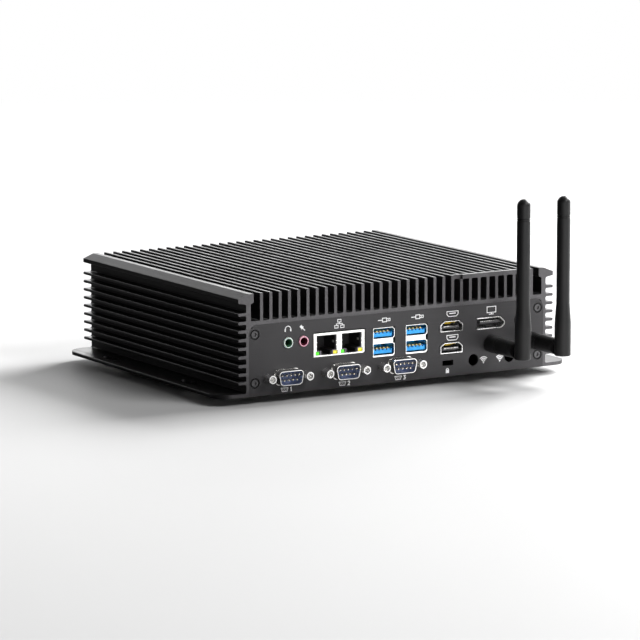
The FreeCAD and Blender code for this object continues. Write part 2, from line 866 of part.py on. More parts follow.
# ============================================================ cover and feet
cover = slab(
    "cover", "XY_Plane", 0.0, D.cover_thick,
    lambda s: s.rect(-D.cover_half, D.cover_half, D.panel_thick + 0.05, D.body_depth - D.panel_thick - 0.05),
)
cut_slab(cover, "XY_Plane", 0.0, D.cover_thick, cover_holes(1.7))
cut_slab(cover, "XY_Plane", 0.0, 1.1, cover_holes(3.0))
node("bottom_cover", seat(cover))
cover_screw = screw("cover_screw", "XY_Plane", 2.75, 1.0, D.screw_shank / 2.0, 6.6, 1.35, 0.7)
node(
    "bottom_cover_screws",
    seat(copies(cover_screw, [(x, y, 0.1) for x in (-D.cover_line, D.cover_line) for y in COVER_ROWS])),
)
foot = turned(
    "foot",
    [
        (-D.foot_high, 0.0), (-D.foot_high, D.foot_wide / 2.0 - 1.2, 0.5),
        (0.0, D.foot_wide / 2.0, 0.4), (0.0, 0.0),
    ],
    "Z",
)
node(
    "rubber_feet",
    seat(copies(foot, [(x, y, 0.0) for x in (-D.foot_line, D.foot_line) for y in (D.foot_front, D.foot_back)])),
)

# ================================================================ the mainboard
board_top = D.board_low + D.board_thick
board = slab(
    "board", "XY_Plane", D.board_low, D.board_thick,
    lambda s: s.rect(-D.board_half, D.board_half, D.board_front, D.board_back, 1.0),
)
cut_slab(board, "XY_Plane", D.board_low - 0.2, D.board_thick + 0.4, at_posts(1.6))
node("mainboard", seat(board))
post = slab("post", "XY_Plane", 0.0, D.roof_under - board_top, lambda s: s.outline(
    [(2.9 * math.cos(math.radians(60 * i)), 2.9 * math.sin(math.radians(60 * i))) for i in range(6)]))
add_slab(post, "XY_Plane", D.roof_under - board_top - 0.01, 2.01, lambda s: s.circle(0.0, 0.0, 1.5))
cut_slab(post, "XY_Plane", 0.0, 4.6, lambda s: s.circle(0.0, 0.0, 1.55))
node("board_posts", seat(copies(post, [(x, y, board_top) for x, y in POSTS])))
board_screw = screw("board_screw", "XY_Plane", 2.8, 1.6, 1.5, 4.6, 1.3, 0.9)
node("board_screws", seat(copies(board_screw, [(x, y, D.board_low - 1.6) for x, y in POSTS])))

chip_x, chip_y = 10.0, 100.0
processor = slab("processor_body", "XY_Plane", board_top, 1.2,
                 lambda s: s.rect(chip_x - 21.0, chip_x + 21.0, chip_y - 12.0, chip_y + 12.0))
add_slab(processor, "XY_Plane", board_top + 1.19, 0.46, lambda s: s.rect(chip_x - 15.0, chip_x - 1.0, chip_y - 5.5, chip_y + 5.5))
add_slab(processor, "XY_Plane", board_top + 1.19, 0.46, lambda s: s.rect(chip_x + 5.0, chip_x + 14.0, chip_y - 4.0, chip_y + 4.0))
node("processor", seat(processor))
die_top = board_top + 1.65
node("thermal_pad", seat(box(chip_x - 16.0, chip_x + 15.0, chip_y - 7.0, chip_y + 7.0, die_top, die_top + 0.5)))
spreader = slab("spreader", "XY_Plane", die_top + 0.5, D.roof_under - die_top - 0.5,
                lambda s: s.rect(chip_x - 28.0, chip_x + 28.0, chip_y - 24.0, chip_y + 24.0, 2.0))
node("heat_spreader", seat(spreader))

card_z = D.board_low - 4.2
node(
    "memory_socket",
    seat(less(
        fused([
            box(-60.0, 10.0, 100.0, 108.0, D.board_low - 5.2, D.board_low),
            box(-60.0, -58.95, 107.9, 128.0, D.board_low - 4.6, D.board_low - 2.6),
            box(8.95, 10.0, 107.9, 128.0, D.board_low - 4.6, D.board_low - 2.6),
        ]),
        [box(-58.85, 8.85, 104.0, 109.0, card_z - 0.05, card_z + 1.25)],
    )),
)
node(
    "memory_module",
    seat(fused(
        [box(-58.8, 8.8, 104.1, 134.0, card_z, card_z + 1.2)]
        + [box(x, x + 11.0, 114.0, 128.0, card_z - 1.0, card_z + 0.1) for x in (-54.0, -40.0, -21.0, -7.0)]
    )),
)
CARDS = [("storage_drive", 30.0, 80.0), ("wireless_card", 62.0, 30.0)]
sockets, posts_, screws_ = [], [], []
for label, x0, long in CARDS:
    y0 = 84.0 if label == "storage_drive" else 62.0
    sockets.append(less(
        box(x0, x0 + 22.0, y0 - 6.0, y0 + 2.7, card_z - 1.2, D.board_low),
        [box(x0 - 1.0, x0 + 23.0, y0 - 1.3, y0 + 3.0, card_z - 0.05, card_z + 0.85)],
    ))
    plate = box(x0 + 0.05, x0 + 21.95, y0 - 1.2, y0 - 1.2 + long, card_z, card_z + 0.8)
    chips = [box(x0 + 3.0, x0 + 19.0, y0 + 6.0, y0 + 19.0, card_z - 1.3, card_z + 0.1)]
    if label == "storage_drive":
        chips += [box(x0 + 4.0, x0 + 18.0, y0 + 24.0, y0 + 42.0, card_z - 1.3, card_z + 0.1),
                  box(x0 + 4.0, x0 + 18.0, y0 + 47.0, y0 + 65.0, card_z - 1.3, card_z + 0.1)]
    end = y0 - 1.2 + long
    notch = rod("Z", x0 + 11.0, end, card_z - 2.0, 1.4, 4.0)
    node(label, seat(less(fused([plate] + chips), [notch])))
    posts_.append(less(
        rod("Z", x0 + 11.0, end + 0.9, card_z + 0.8, 2.6, D.board_low - card_z - 0.8),
        [rod("Z", x0 + 11.0, end + 0.9, card_z, 1.05, 3.0)],
    ))
    screws_.append(fused([
        rod("Z", x0 + 11.0, end + 0.9, card_z - 1.0, 2.2, 1.0),
        rod("Z", x0 + 11.0, end + 0.9, card_z - 0.1, 1.0, 2.6),
    ]))
node("card_sockets", seat(group(sockets)))
node("card_posts", seat(group(posts_)))
node("card_screws", seat(group(screws_)))
node("coin_cell", seat(rod("Z", -78.0, 110.0, D.board_low - 4.4, 10.0, 3.2)))
node(
    "coin_cell_holder",
    seat(less(
        fused([rod("Z", -78.0, 110.0, D.board_low - 4.9, 12.0, 4.9)]),
        [rod("Z", -78.0, 110.0, D.board_low - 5.5, 10.1, 4.6), box(-70.0, -60.0, 104.0, 116.0, D.board_low - 5.5, D.board_low - 1.0)],
    )),
)

# ================================================================ serial ports
serial_back = 3.0
shell = slab("serial_shell", "XZ_Plane", -D.serial_out, D.serial_out + D.panel_thick + 0.6, lambda s: dsub(s, 0.0, 0.0))
add_slab(shell, "XZ_Plane", D.panel_thick, 1.0, lambda s: s.rect(-15.4, 15.4, -6.0, 6.0, 1.5))
add_slab(shell, "XZ_Plane", -0.2, 0.19, lambda s: dsub(s, 0.0, 0.0, 0.45))
cut_slab(shell, "XZ_Plane", -D.serial_out, D.serial_out + D.panel_thick + 1.2, lambda s: dsub(s, 0.0, 0.0, -0.45))
cut_slab(
    shell, "XZ_Plane", D.panel_thick - 0.1, 1.2,
    lambda s: s.circle(-(D.jack_span / 2.0), 0.0, 1.6).circle(D.jack_span / 2.0, 0.0, 1.6),
)
at_serial = [(x, 0.0, D.serial_z) for x in SERIAL_X]
node("serial_shells", seat(copies(shell, at_serial)))

insert = slab("serial_insert", "XZ_Plane", 0.1, 8.9, lambda s: dsub(s, 0.0, 0.0, -0.5))
add_slab(insert, "XZ_Plane", 3.05, 5.95, lambda s: s.rect(-9.5, 9.5, -4.6, 4.6, 0.8))
PINS = [(-5.54 + 2.77 * i, 1.42) for i in range(5)] + [(-4.155 + 2.77 * i, -1.42) for i in range(4)]


def pin_holes(s):
    for px, pz in PINS:
        s.circle(px, pz, 0.55)


cut_slab(insert, "XZ_Plane", 0.0, 6.0, pin_holes)
node("serial_inserts", seat(copies(insert, at_serial)))
pin = turned("serial_pin", [(-5.2, 0.0), (-5.2, 0.5, 0.3), (5.9, 0.5), (5.9, 0.0)], "Y")
node(
    "serial_pins",
    seat(copies(pin, [(x + px, 0.0, D.serial_z + pz) for x in SERIAL_X for px, pz in PINS])),
)
jack = new_body("jack_screw")
jack_r = D.jack_flats / math.sqrt(3.0)
add_slab(jack, "XZ_Plane", -D.jack_out, D.jack_out, lambda s: s.outline(
    [(jack_r * math.sin(math.radians(60 * i)), jack_r * math.cos(math.radians(60 * i)), 0.25) for i in range(6)]))
add_slab(jack, "XZ_Plane", -0.01, 6.01, lambda s: s.circle(0.0, 0.0, 1.45))
cut_slab(jack, "XZ_Plane", -D.jack_out, 5.0, lambda s: s.circle(0.0, 0.0, 1.3))
turned("jack_chamfer", [(-6.3, 2.1), (-6.3, 3.2), (-5.3, 3.2)], "Y", cut=True, body=jack)
turned("jack_mouth", [(-6.2, 0.0), (-6.2, 1.9), (-5.5, 1.2), (-5.5, 0.0)], "Y", cut=True, body=jack)
node(
    "serial_jack_screws",
    seat(copies(jack, [(x + D.jack_span / 2.0 * side, 0.0, D.serial_z) for x in SERIAL_X for side in (-1.0, 1.0)])),
)
ribbon_up = 45.0
ribbon = slab(
    "serial_ribbon", "YZ_Plane", -6.35, 12.7,
    lambda s: s.outline(
        [
            (9.05, -0.45), (ribbon_up + 0.45, -0.45, 6.45), (ribbon_up + 0.45, 14.8),
            (ribbon_up - 0.45, 14.8), (ribbon_up - 0.45, 0.45, 5.55), (9.05, 0.45),
        ]
    ),
)
node("serial_ribbons", seat(copies(ribbon, at_serial)))
header = slab("serial_header", "XY_Plane", 14.85, D.board_low - D.serial_z - 14.85,
              lambda s: s.rect(-10.0, 10.0, ribbon_up - 4.5, ribbon_up + 4.5, 0.5))
node("serial_headers", seat(copies(header, at_serial)))


# =============================================================== audio sockets
def audio(name):
    nose = turned(
        name,
        [
            (-1.0, 2.4), (-1.0, 3.1, 0.3), (1.9, 3.1), (1.9, 4.0),
            (14.0, 4.0), (14.0, 2.4), (12.4, 2.4), (12.4, 1.8), (0.5, 1.8),
        ],
        "Y",
    )
    return nose


node("headphone_socket", seat(audio("headphone"), D.headphone_x, 0.15, D.audio_z))
node("microphone_socket", seat(audio("microphone"), D.microphone_x, 0.15, D.audio_z))

# ============================================================== network socket
net_front = -0.5
net_l, net_r = D.net_x - D.net_half, D.net_x + D.net_half
port_l, port_r = D.net_x - D.net_port, D.net_x + D.net_port


def net_section(s, grow=0.0):
    """The section of the network shield, its lower right corner rounded."""
    l, r, low, high = net_l - grow, net_r + grow, D.net_low - grow, D.net_high + grow
    s.outline([(l, low, 0.25), (r, low, 1.2 + grow), (r, high, 0.25), (l, high, 0.25)])


shield = slab("net_shield", "XZ_Plane", net_front, 21.5, net_section)
cut_slab(shield, "XZ_Plane", net_front + 0.4, 21.2, lambda s: net_section(s, -0.3))


def net_mouths(s):
    for x in (port_l, port_r):
        s.outline(
            [
                (x - 7.5, D.net_low + 0.8), (x - 2.8, D.net_low + 0.8), (x - 2.8, D.net_low + 0.55),
                (x + 2.8, D.net_low + 0.55), (x + 2.8, D.net_low + 0.8), (x + 7.5, D.net_low + 0.8),
                (x + 7.5, D.net_low + 3.25), (x + 6.8, D.net_low + 3.25), (x + 6.8, D.net_high - 1.3, 0.2),
                (x - 6.8, D.net_high - 1.3, 0.2), (x - 6.8, D.net_low + 3.25), (x - 7.5, D.net_low + 3.25),
            ]
        )


cut_slab(shield, "XZ_Plane", net_front, 0.5, net_mouths)
node("network_shield", seat(shield))
net_core = slab("net_core", "XZ_Plane", net_front + 0.45, 20.5, lambda s: net_section(s, -0.35))


def net_cavities(s):
    for x in (port_l, port_r):
        s.outline(
            [
                (x - 2.9, D.net_low + 0.7), (x + 2.9, D.net_low + 0.7), (x + 2.9, D.net_low + 3.1),
                (x + 5.95, D.net_low + 3.8), (x + 5.95, D.net_high - 1.6), (x - 5.95, D.net_high - 1.6),
                (x - 5.95, D.net_low + 3.8), (x - 2.9, D.net_low + 3.1),
            ]
        )


def lamp_wells(s):
    for x in (port_l, port_r):
        for side in (-1.0, 1.0):
            s.rect(x + side * 6.0 - 1.4, x + side * 6.0 + 1.4, D.net_low + 0.85, D.net_low + 3.0)


cut_slab(net_core, "XZ_Plane", net_front, 13.0, net_cavities)
cut_slab(net_core, "XZ_Plane", net_front, 13.0, lamp_wells)
node("network_core", seat(net_core))
lamp = slab("net_lamp", "XZ_Plane", net_front + 0.6, 10.0, lambda s: s.rect(-1.3, 1.3, -1.0, 1.0, 0.15))
lamp_z = D.net_low + 1.925
node("network_lamps_green", seat(copies(lamp, [(x - 6.0, 0.0, lamp_z) for x in (port_l, port_r)])))
node("network_lamps_yellow", seat(copies(lamp, [(x + 6.0, 0.0, lamp_z) for x in (port_l, port_r)])))
contact = slab(
    "net_contact", "YZ_Plane", -0.2, 0.4,
    lambda s: s.outline([(3.6, 0.0), (11.8, -0.9), (11.8, -0.5), (4.6, 0.3), (3.6, 0.3)]),
)
node(
    "network_contacts",
    seat(copies(contact, [(x - 3.57 + 1.02 * i, 0.0, D.net_high - 2.0) for x in (port_l, port_r) for i in range(8)])),
)

# ============================================================= stacked sockets
# Each shell is one bright box with an opening over another, necked in on its right between them.
usb_tall = D.usb_high - D.usb_low
usb_step = D.usb_half - 1.15
USB_FLOORS = (0.9, 10.8)
usb_shell = slab("usb_shell", "XZ_Plane", net_front, 17.5, lambda s: s.outline(
    [
        (-D.usb_half, 0.0, 0.25), (D.usb_half - 1.1, 0.0, 0.2), (D.usb_half, 1.0, 0.2), (D.usb_half, 7.2),
        (usb_step, 7.9), (usb_step, 10.6), (D.usb_half, 11.3), (D.usb_half, usb_tall - 1.3, 0.2),
        (D.usb_half - 1.4, usb_tall, 0.2), (-D.usb_half, usb_tall, 0.25),
    ]))
usb_l, usb_r = -D.usb_half + 0.3, D.usb_half - 0.35
cut_slab(usb_shell, "XZ_Plane", net_front, 17.1, lambda s: s.outline(
    [(usb_l, 0.9), (usb_r - 0.9, 0.9), (usb_r, 1.7), (usb_r, 6.7), (usb_r - 1.1, 7.7), (usb_l, 7.7)]))
cut_slab(usb_shell, "XZ_Plane", net_front, 17.1, lambda s: s.outline(
    [(usb_l, 10.8), (usb_r - 1.1, 10.8), (usb_r, 11.8), (usb_r, usb_tall - 1.4), (usb_r - 1.15, usb_tall - 0.3),
     (usb_l, usb_tall - 0.3)]))
cut_slab(usb_shell, "XZ_Plane", 0.4, 10.1, lambda s: s.rect(usb_l + 0.2, usb_step - 0.5, 8.1, 10.4))
cut_slab(usb_shell, "XZ_Plane", 10.4, 6.2, lambda s: s.rect(usb_l, usb_step - 0.5, 2.0, usb_tall - 2.0))
node("usb_shells", seat(copies(usb_shell, [(x, 0.0, D.usb_low) for x in USB_X])))
tongues, pads = [], []
for x in USB_X:
    carrier = [box(x + usb_l + 0.1, x + usb_step - 0.6, 11.5, 16.5, D.usb_low + 1.0, D.usb_high - 0.45)]
    notches = []
    for floor in USB_FLOORS:
        low, top = D.usb_low + floor + 0.85, D.usb_low + floor + 3.4
        carrier.append(box(x - 6.5, x + 6.1, 0.5, 11.6, low, top))
        for along in (-5.0, -2.5, 0.0, 2.6, 5.0):
            notches.append(box(x + along - 0.55, x + along + 0.55, 0.4, 1.5, top - 0.75, top + 0.1))
            pads.append(box(x + along - 0.45, x + along + 0.45, 1.6, 4.2, top, top + 0.15))
        for along in (-3.6, -1.15, 1.3, 3.8):
            pads.append(fused([
                box(x + along - 0.4, x + along + 0.4, 1.6, 11.4, top, top + 0.3),
                box(x + along - 0.4, x + along + 0.4, 1.6, 2.8, top + 0.2, top + 0.8),
            ]))
    tongues.append(less(fused(carrier), notches))
node("usb_tongues", seat(group(tongues)))
node("usb_contacts", seat(group(pads)))

# ======================================================== monitor and display
screen_shell = slab("screen_shell", "XZ_Plane", net_front, 12.5, lambda s: screen(s, 0.0, 0.0))
cut_slab(screen_shell, "XZ_Plane", net_front, 12.0, lambda s: screen(s, 0.0, 0.0, -0.4))
at_screens = [(D.screen_x, 0.0, z) for z in (D.screen_low, D.screen_high)]
node("monitor_socket_shells", seat(copies(screen_shell, at_screens)))
screen_tongue = slab("screen_tongue", "XZ_Plane", 9.0, 2.4, lambda s: screen(s, 0.0, 0.0, -0.6))
add_slab(screen_tongue, "XZ_Plane", 0.6, 8.5, lambda s: s.rect(-5.6, 5.6, -1.35, 0.15, 0.1))
node("monitor_socket_tongues", seat(copies(screen_tongue, at_screens)))
display_shell = slab("display_shell", "XZ_Plane", net_front, 12.5, lambda s: display(s, D.display_x, D.display_z))
cut_slab(display_shell, "XZ_Plane", net_front, 12.0, lambda s: display(s, D.display_x, D.display_z, -0.4))
# its left end is cut back behind the panel's face
cut_slab(display_shell, "XZ_Plane", net_front, 2.0, lambda s: s.rect(
    D.display_x - 9.8, D.display_x - 9.1, D.display_z - 2.7, D.display_z + 2.7))
node("display_socket_shell", seat(display_shell))
display_tongue = slab("display_tongue", "XZ_Plane", 9.0, 2.4, lambda s: display(s, D.display_x, D.display_z, -0.6))
add_slab(display_tongue, "XZ_Plane", 0.6, 8.5,
         lambda s: s.rect(D.display_x - 7.2, D.display_x + 6.2, D.display_z - 0.3, D.display_z + 1.3, 0.1))
node("display_socket_tongue", seat(display_tongue))

# ================================================================ power inlet
inlet = turned(
    "inlet",
    [(-0.4, 3.2), (-0.4, 4.0, 0.2), (2.05, 4.0), (2.05, 4.6), (2.9, 4.6), (2.9, 4.0), (12.0, 4.0), (12.0, 1.1),
     (10.0, 1.1), (10.0, 3.2)],
    "Y",
)
node("power_inlet", seat(inlet, D.inlet_x, 0.0, D.inlet_z))
inlet_pin = turned("inlet_contact", [(0.8, 0.0), (0.8, 1.05, 0.3), (11.9, 1.05), (11.9, 0.0)], "Y")
node("power_inlet_pin", seat(inlet_pin, D.inlet_x, 0.0, D.inlet_z))

# =================================================================== antennas
# Bulkhead jack: threaded through the panel, its hexagon behind.
bulkhead = new_body("bulkhead")
turned(
    "bulkhead_turned",
    [(-8.0, 0.7), (-8.0, 3.15, 0.3), (4.3, 3.15), (4.3, 2.2), (10.0, 2.2), (10.0, 0.0), (6.0, 0.0), (6.0, 0.7)],
    "Y", body=bulkhead,
)
AT_ANTENNAS = [(D.antenna_left, 0.0, D.antenna_z), (D.antenna_right, 0.0, D.antenna_z)]
node("antenna_jacks", seat(copies(bulkhead, AT_ANTENNAS)))
jack_nut = new_body("jack_nut")
add_slab(jack_nut, "XZ_Plane", D.panel_thick, 2.2, lambda s: s.outline(
    [(4.6 * math.cos(math.radians(60 * i)), 4.6 * math.sin(math.radians(60 * i)), 0.3) for i in range(6)]))
cut_slab(jack_nut, "XZ_Plane", D.panel_thick, 2.4, lambda s: s.circle(0.0, 0.0, 3.2))
node("antenna_jack_nuts", seat(copies(jack_nut, AT_ANTENNAS)))
collar = turned(
    "collar",
    [
        (-D.collar_long, D.swivel_r + D.run_gap), (-D.collar_long, D.barrel_r, 0.35),
        (-0.05, D.barrel_r, 0.5), (-0.05, D.swivel_r + D.run_gap),
    ],
    "Y",
)
node("antenna_collars", seat(copies(collar, AT_ANTENNAS)))

# Knuckle, about its own pivot: a round barrel on a swivel shaft, a hollowed shoulder that the
# whip's foot swings in, and a tongue with a trunnion each side.
reach = D.antenna_reach
shoulder = 5.15


def knuckle(name):
    body = turned(
        name,
        [
            (shoulder, 0.0), (shoulder, D.barrel_r - 0.1, 0.25),
            (reach - D.collar_long - 0.3, D.barrel_r, 0.3),
            (reach - D.collar_long - 0.3, D.swivel_r), (reach - 8.6, D.swivel_r, 0.3), (reach - 8.6, 0.0),
        ],
        "Y",
    )
    cut_slab(body, "YZ_Plane", -6.0, 12.0, lambda s: s.circle(0.0, 0.0, 6.5))
    add_slab(
        body, "YZ_Plane", -D.tongue_half, D.tongue_half * 2.0,
        lambda s: s.outline([(-3.2, -3.2, 3.1), (9.0, -3.2), (9.0, 3.2), (-3.2, 3.2, 3.1)]),
    )
    add_slab(body, "YZ_Plane", -D.tongue_half - 1.3, D.tongue_half * 2.0 + 2.6,
             lambda s: s.circle(0.0, 0.0, D.trunnion_r))
    return body


def whip(name):
    body = turned(
        name,
        [
            (-D.whip_foot, 0.0), (-D.whip_foot, D.whip_low_r, 0.8), (15.5, D.whip_low_r, 6.0),
            (26.9, D.whip_top_r, 6.0),
            (77.55, D.whip_top_r), (77.7, D.whip_top_r - 0.25), (77.95, D.whip_top_r - 0.25), (78.1, D.whip_top_r),
            (78.95, D.whip_top_r), (79.1, D.whip_top_r - 0.25), (79.35, D.whip_top_r - 0.25), (79.5, D.whip_top_r),
            (D.whip_high, D.whip_top_r, D.whip_top_r - 0.1), (D.whip_high, 0.0),
        ],
        "Z",
    )
    gap = D.tongue_half + 0.2
    cut_slab(
        body, "YZ_Plane", -gap, gap * 2.0,
        lambda s: s.outline([(6.0, 3.5), (-3.5, 3.5, 3.4), (-3.5, -6.0), (6.0, -6.0)]),
    )
    cut_slab(body, "YZ_Plane", -D.tongue_half - 1.4, D.tongue_half * 2.0 + 2.8,
             lambda s: s.circle(0.0, 0.0, D.trunnion_r + D.run_gap))
    # the bore that the radiator stands in
    cut_slab(body, "XY_Plane", 2.0, 82.5, lambda s: s.circle(0.0, 0.0, 0.7))
    return body


for side, x in (("left", D.antenna_left), ("right", D.antenna_right)):
    node("antenna_knuckle_" + side, seat(knuckle("knuckle_" + side), x, -reach, D.antenna_z))
    node("antenna_whip_" + side, seat(whip("whip_" + side), x, -reach, D.antenna_z))
    node("antenna_radiator_" + side, seat(rod("Z", x, -reach, D.antenna_z + 4.2, 0.6, 80.0)))


# ---------------------------------------------------------------- coaxial leads
def lead(name, points, radius, bend):
    """A round lead: straight runs joined by tangent arcs."""
    pts = [Vector(*[size(c).value for c in p]) for p in points]
    edges, here = [], pts[0]
    for i in range(1, len(pts) - 1):
        before = (pts[i] - pts[i - 1]).normalize()
        after = (pts[i + 1] - pts[i]).normalize()
        turn = before.getAngle(after)
        cut = bend * math.tan(turn / 2.0)
        start, stop = pts[i] - before * cut, pts[i] + after * cut
        inward = (after - before).normalize()
        centre = pts[i] + inward * (bend / math.cos(turn / 2.0))
        mid = centre - inward * bend
        edges.append(Part.LineSegment(here, start).toShape())
        edges.append(Part.Arc(start, mid, stop).toShape())
        here = stop
    edges.append(Part.LineSegment(here, pts[-1]).toShape())
    path = Part.Wire(edges)
    ring = Part.Wire([Part.Circle(pts[0], pts[1] - pts[0], radius).toShape()])
    solid = path.makePipeShell([ring], True, False)
    expected = math.pi * radius ** 2 * path.Length
    if abs(solid.Volume - expected) > 0.02 * expected:
        raise RuntimeError("%s: volume %.2f, expected %.2f" % (name, solid.Volume, expected))
    f = doc.addObject("Part::Feature", name)
    f.Shape = solid
    return f


node("antenna_leads", seat(group([
    lead("lead_left", [(D.antenna_left, 10.05, D.antenna_z), (D.antenna_left, 30.0, D.antenna_z),
                       (68.0, 48.0, 27.4), (68.0, 67.0, 27.4)], 0.6, 9.0),
    lead("lead_right", [(D.antenna_right, 10.05, D.antenna_z), (D.antenna_right, 28.0, D.antenna_z),
                        (78.0, 50.0, 27.4), (78.0, 67.0, 27.4)], 0.6, 9.0),
])))

# ================================================================ power button
face = D.body_depth
bezel = turned(
    "bezel",
    [
        (face + 1.5, D.button_r + D.run_gap), (face + 1.5, 7.0, 0.5), (face, 7.0), (face, 5.9),
        (face - 12.5, 5.9), (face - 12.5, D.button_r + D.run_gap),
    ],
    "Y",
)
node("power_button_bezel", seat(bezel, D.button_x, 0.0, D.button_z))
button = turned(
    "button",
    [(face - 7.5, 0.0), (face - 7.5, D.button_r), (face + 2.3, D.button_r, 0.4), (face + 2.3, 0.0)],
    "Y",
)
node("power_button_cap", seat(button, D.button_x, 0.0, D.button_z))
switch = turned(
    "switch",
    [(face - 16.5, 0.0), (face - 16.5, 4.6), (face - 8.9, 4.6), (face - 8.9, 0.0)],
    "Y",
)
node("power_switch", seat(switch, D.button_x, 0.0, D.button_z))
button_nut = new_body("button_nut")
add_slab(button_nut, "XZ_Plane", face - D.panel_thick - 2.5, 2.5, lambda s: s.outline(
    [(8.6 * math.cos(math.radians(60 * i)), 8.6 * math.sin(math.radians(60 * i)), 0.4) for i in range(6)]))
cut_slab(button_nut, "XZ_Plane", face - D.panel_thick - 2.6, 2.7, lambda s: s.circle(0.0, 0.0, 5.95))
node("power_button_nut", seat(button_nut, D.button_x, 0.0, D.button_z))
lens = turned(
    "lens",
    [(face - 6.0, 0.0), (face - 6.0, 2.2), (face - D.panel_thick, 2.2), (face - D.panel_thick, 1.5),
     (face + 0.4, 1.5, 0.5), (face + 0.4, 0.0)],
    "Y",
)
node("power_lamp", seat(lens, D.button_x - 16.0, 0.0, D.button_z))
node("button_lead", seat(lead(
    "lead_button",
    [(D.button_x, D.body_depth - 16.55, D.button_z), (D.button_x, 158.0, D.button_z), (D.button_x, 158.0, D.board_low)],
    1.0, 6.0,
)))

# ---------------------------------------------------------------------- checks
doc.recompute()
faults = []
for obj in doc.Objects:
    if "Invalid" in obj.State or "Error" in obj.State:
        faults.append("%s (%s) is %s" % (obj.Name, obj.TypeId, obj.State))
for label, obj in NODES.items():
    shape = obj.Shape
    if shape.isNull() or not shape.isValid() or not shape.Solids or shape.Volume <= 0:
        faults.append("%s has no sound shape" % label)
if faults:
    raise RuntimeError("; ".join(faults))
for label, obj in NODES.items():
    obj.Shape.exportStep("parts/%s.step" % label)
    b = obj.Shape.BoundBox
    print("%-26s %3d solids %10.2f mm3  x %.2f..%.2f  y %.2f..%.2f  z %.2f..%.2f" % (
        label, len(obj.Shape.Solids), obj.Shape.Volume, b.XMin, b.XMax, b.YMin, b.YMax, b.ZMin, b.ZMax))
print(len(NODES), "nodes")
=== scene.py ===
import math

import bmesh
import bpy
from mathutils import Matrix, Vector


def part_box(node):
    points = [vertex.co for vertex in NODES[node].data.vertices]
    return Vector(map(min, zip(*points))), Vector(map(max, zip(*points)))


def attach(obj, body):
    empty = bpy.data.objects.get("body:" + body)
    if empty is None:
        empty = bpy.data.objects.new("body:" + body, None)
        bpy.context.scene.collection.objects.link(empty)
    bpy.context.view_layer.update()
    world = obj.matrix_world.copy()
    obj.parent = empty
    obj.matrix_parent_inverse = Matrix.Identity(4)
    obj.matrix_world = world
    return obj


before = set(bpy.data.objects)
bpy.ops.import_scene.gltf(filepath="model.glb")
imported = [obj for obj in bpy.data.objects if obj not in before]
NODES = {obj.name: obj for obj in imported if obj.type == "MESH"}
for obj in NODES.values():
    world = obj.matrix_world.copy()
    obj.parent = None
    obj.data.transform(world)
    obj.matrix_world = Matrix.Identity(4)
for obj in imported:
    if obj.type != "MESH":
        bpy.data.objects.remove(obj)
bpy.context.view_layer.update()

scene = bpy.context.scene
MM = 0.001
PANEL_LO, PANEL_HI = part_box("io_panel")          # the port panel's corners
FACE = PANEL_LO.y                                 # its front face


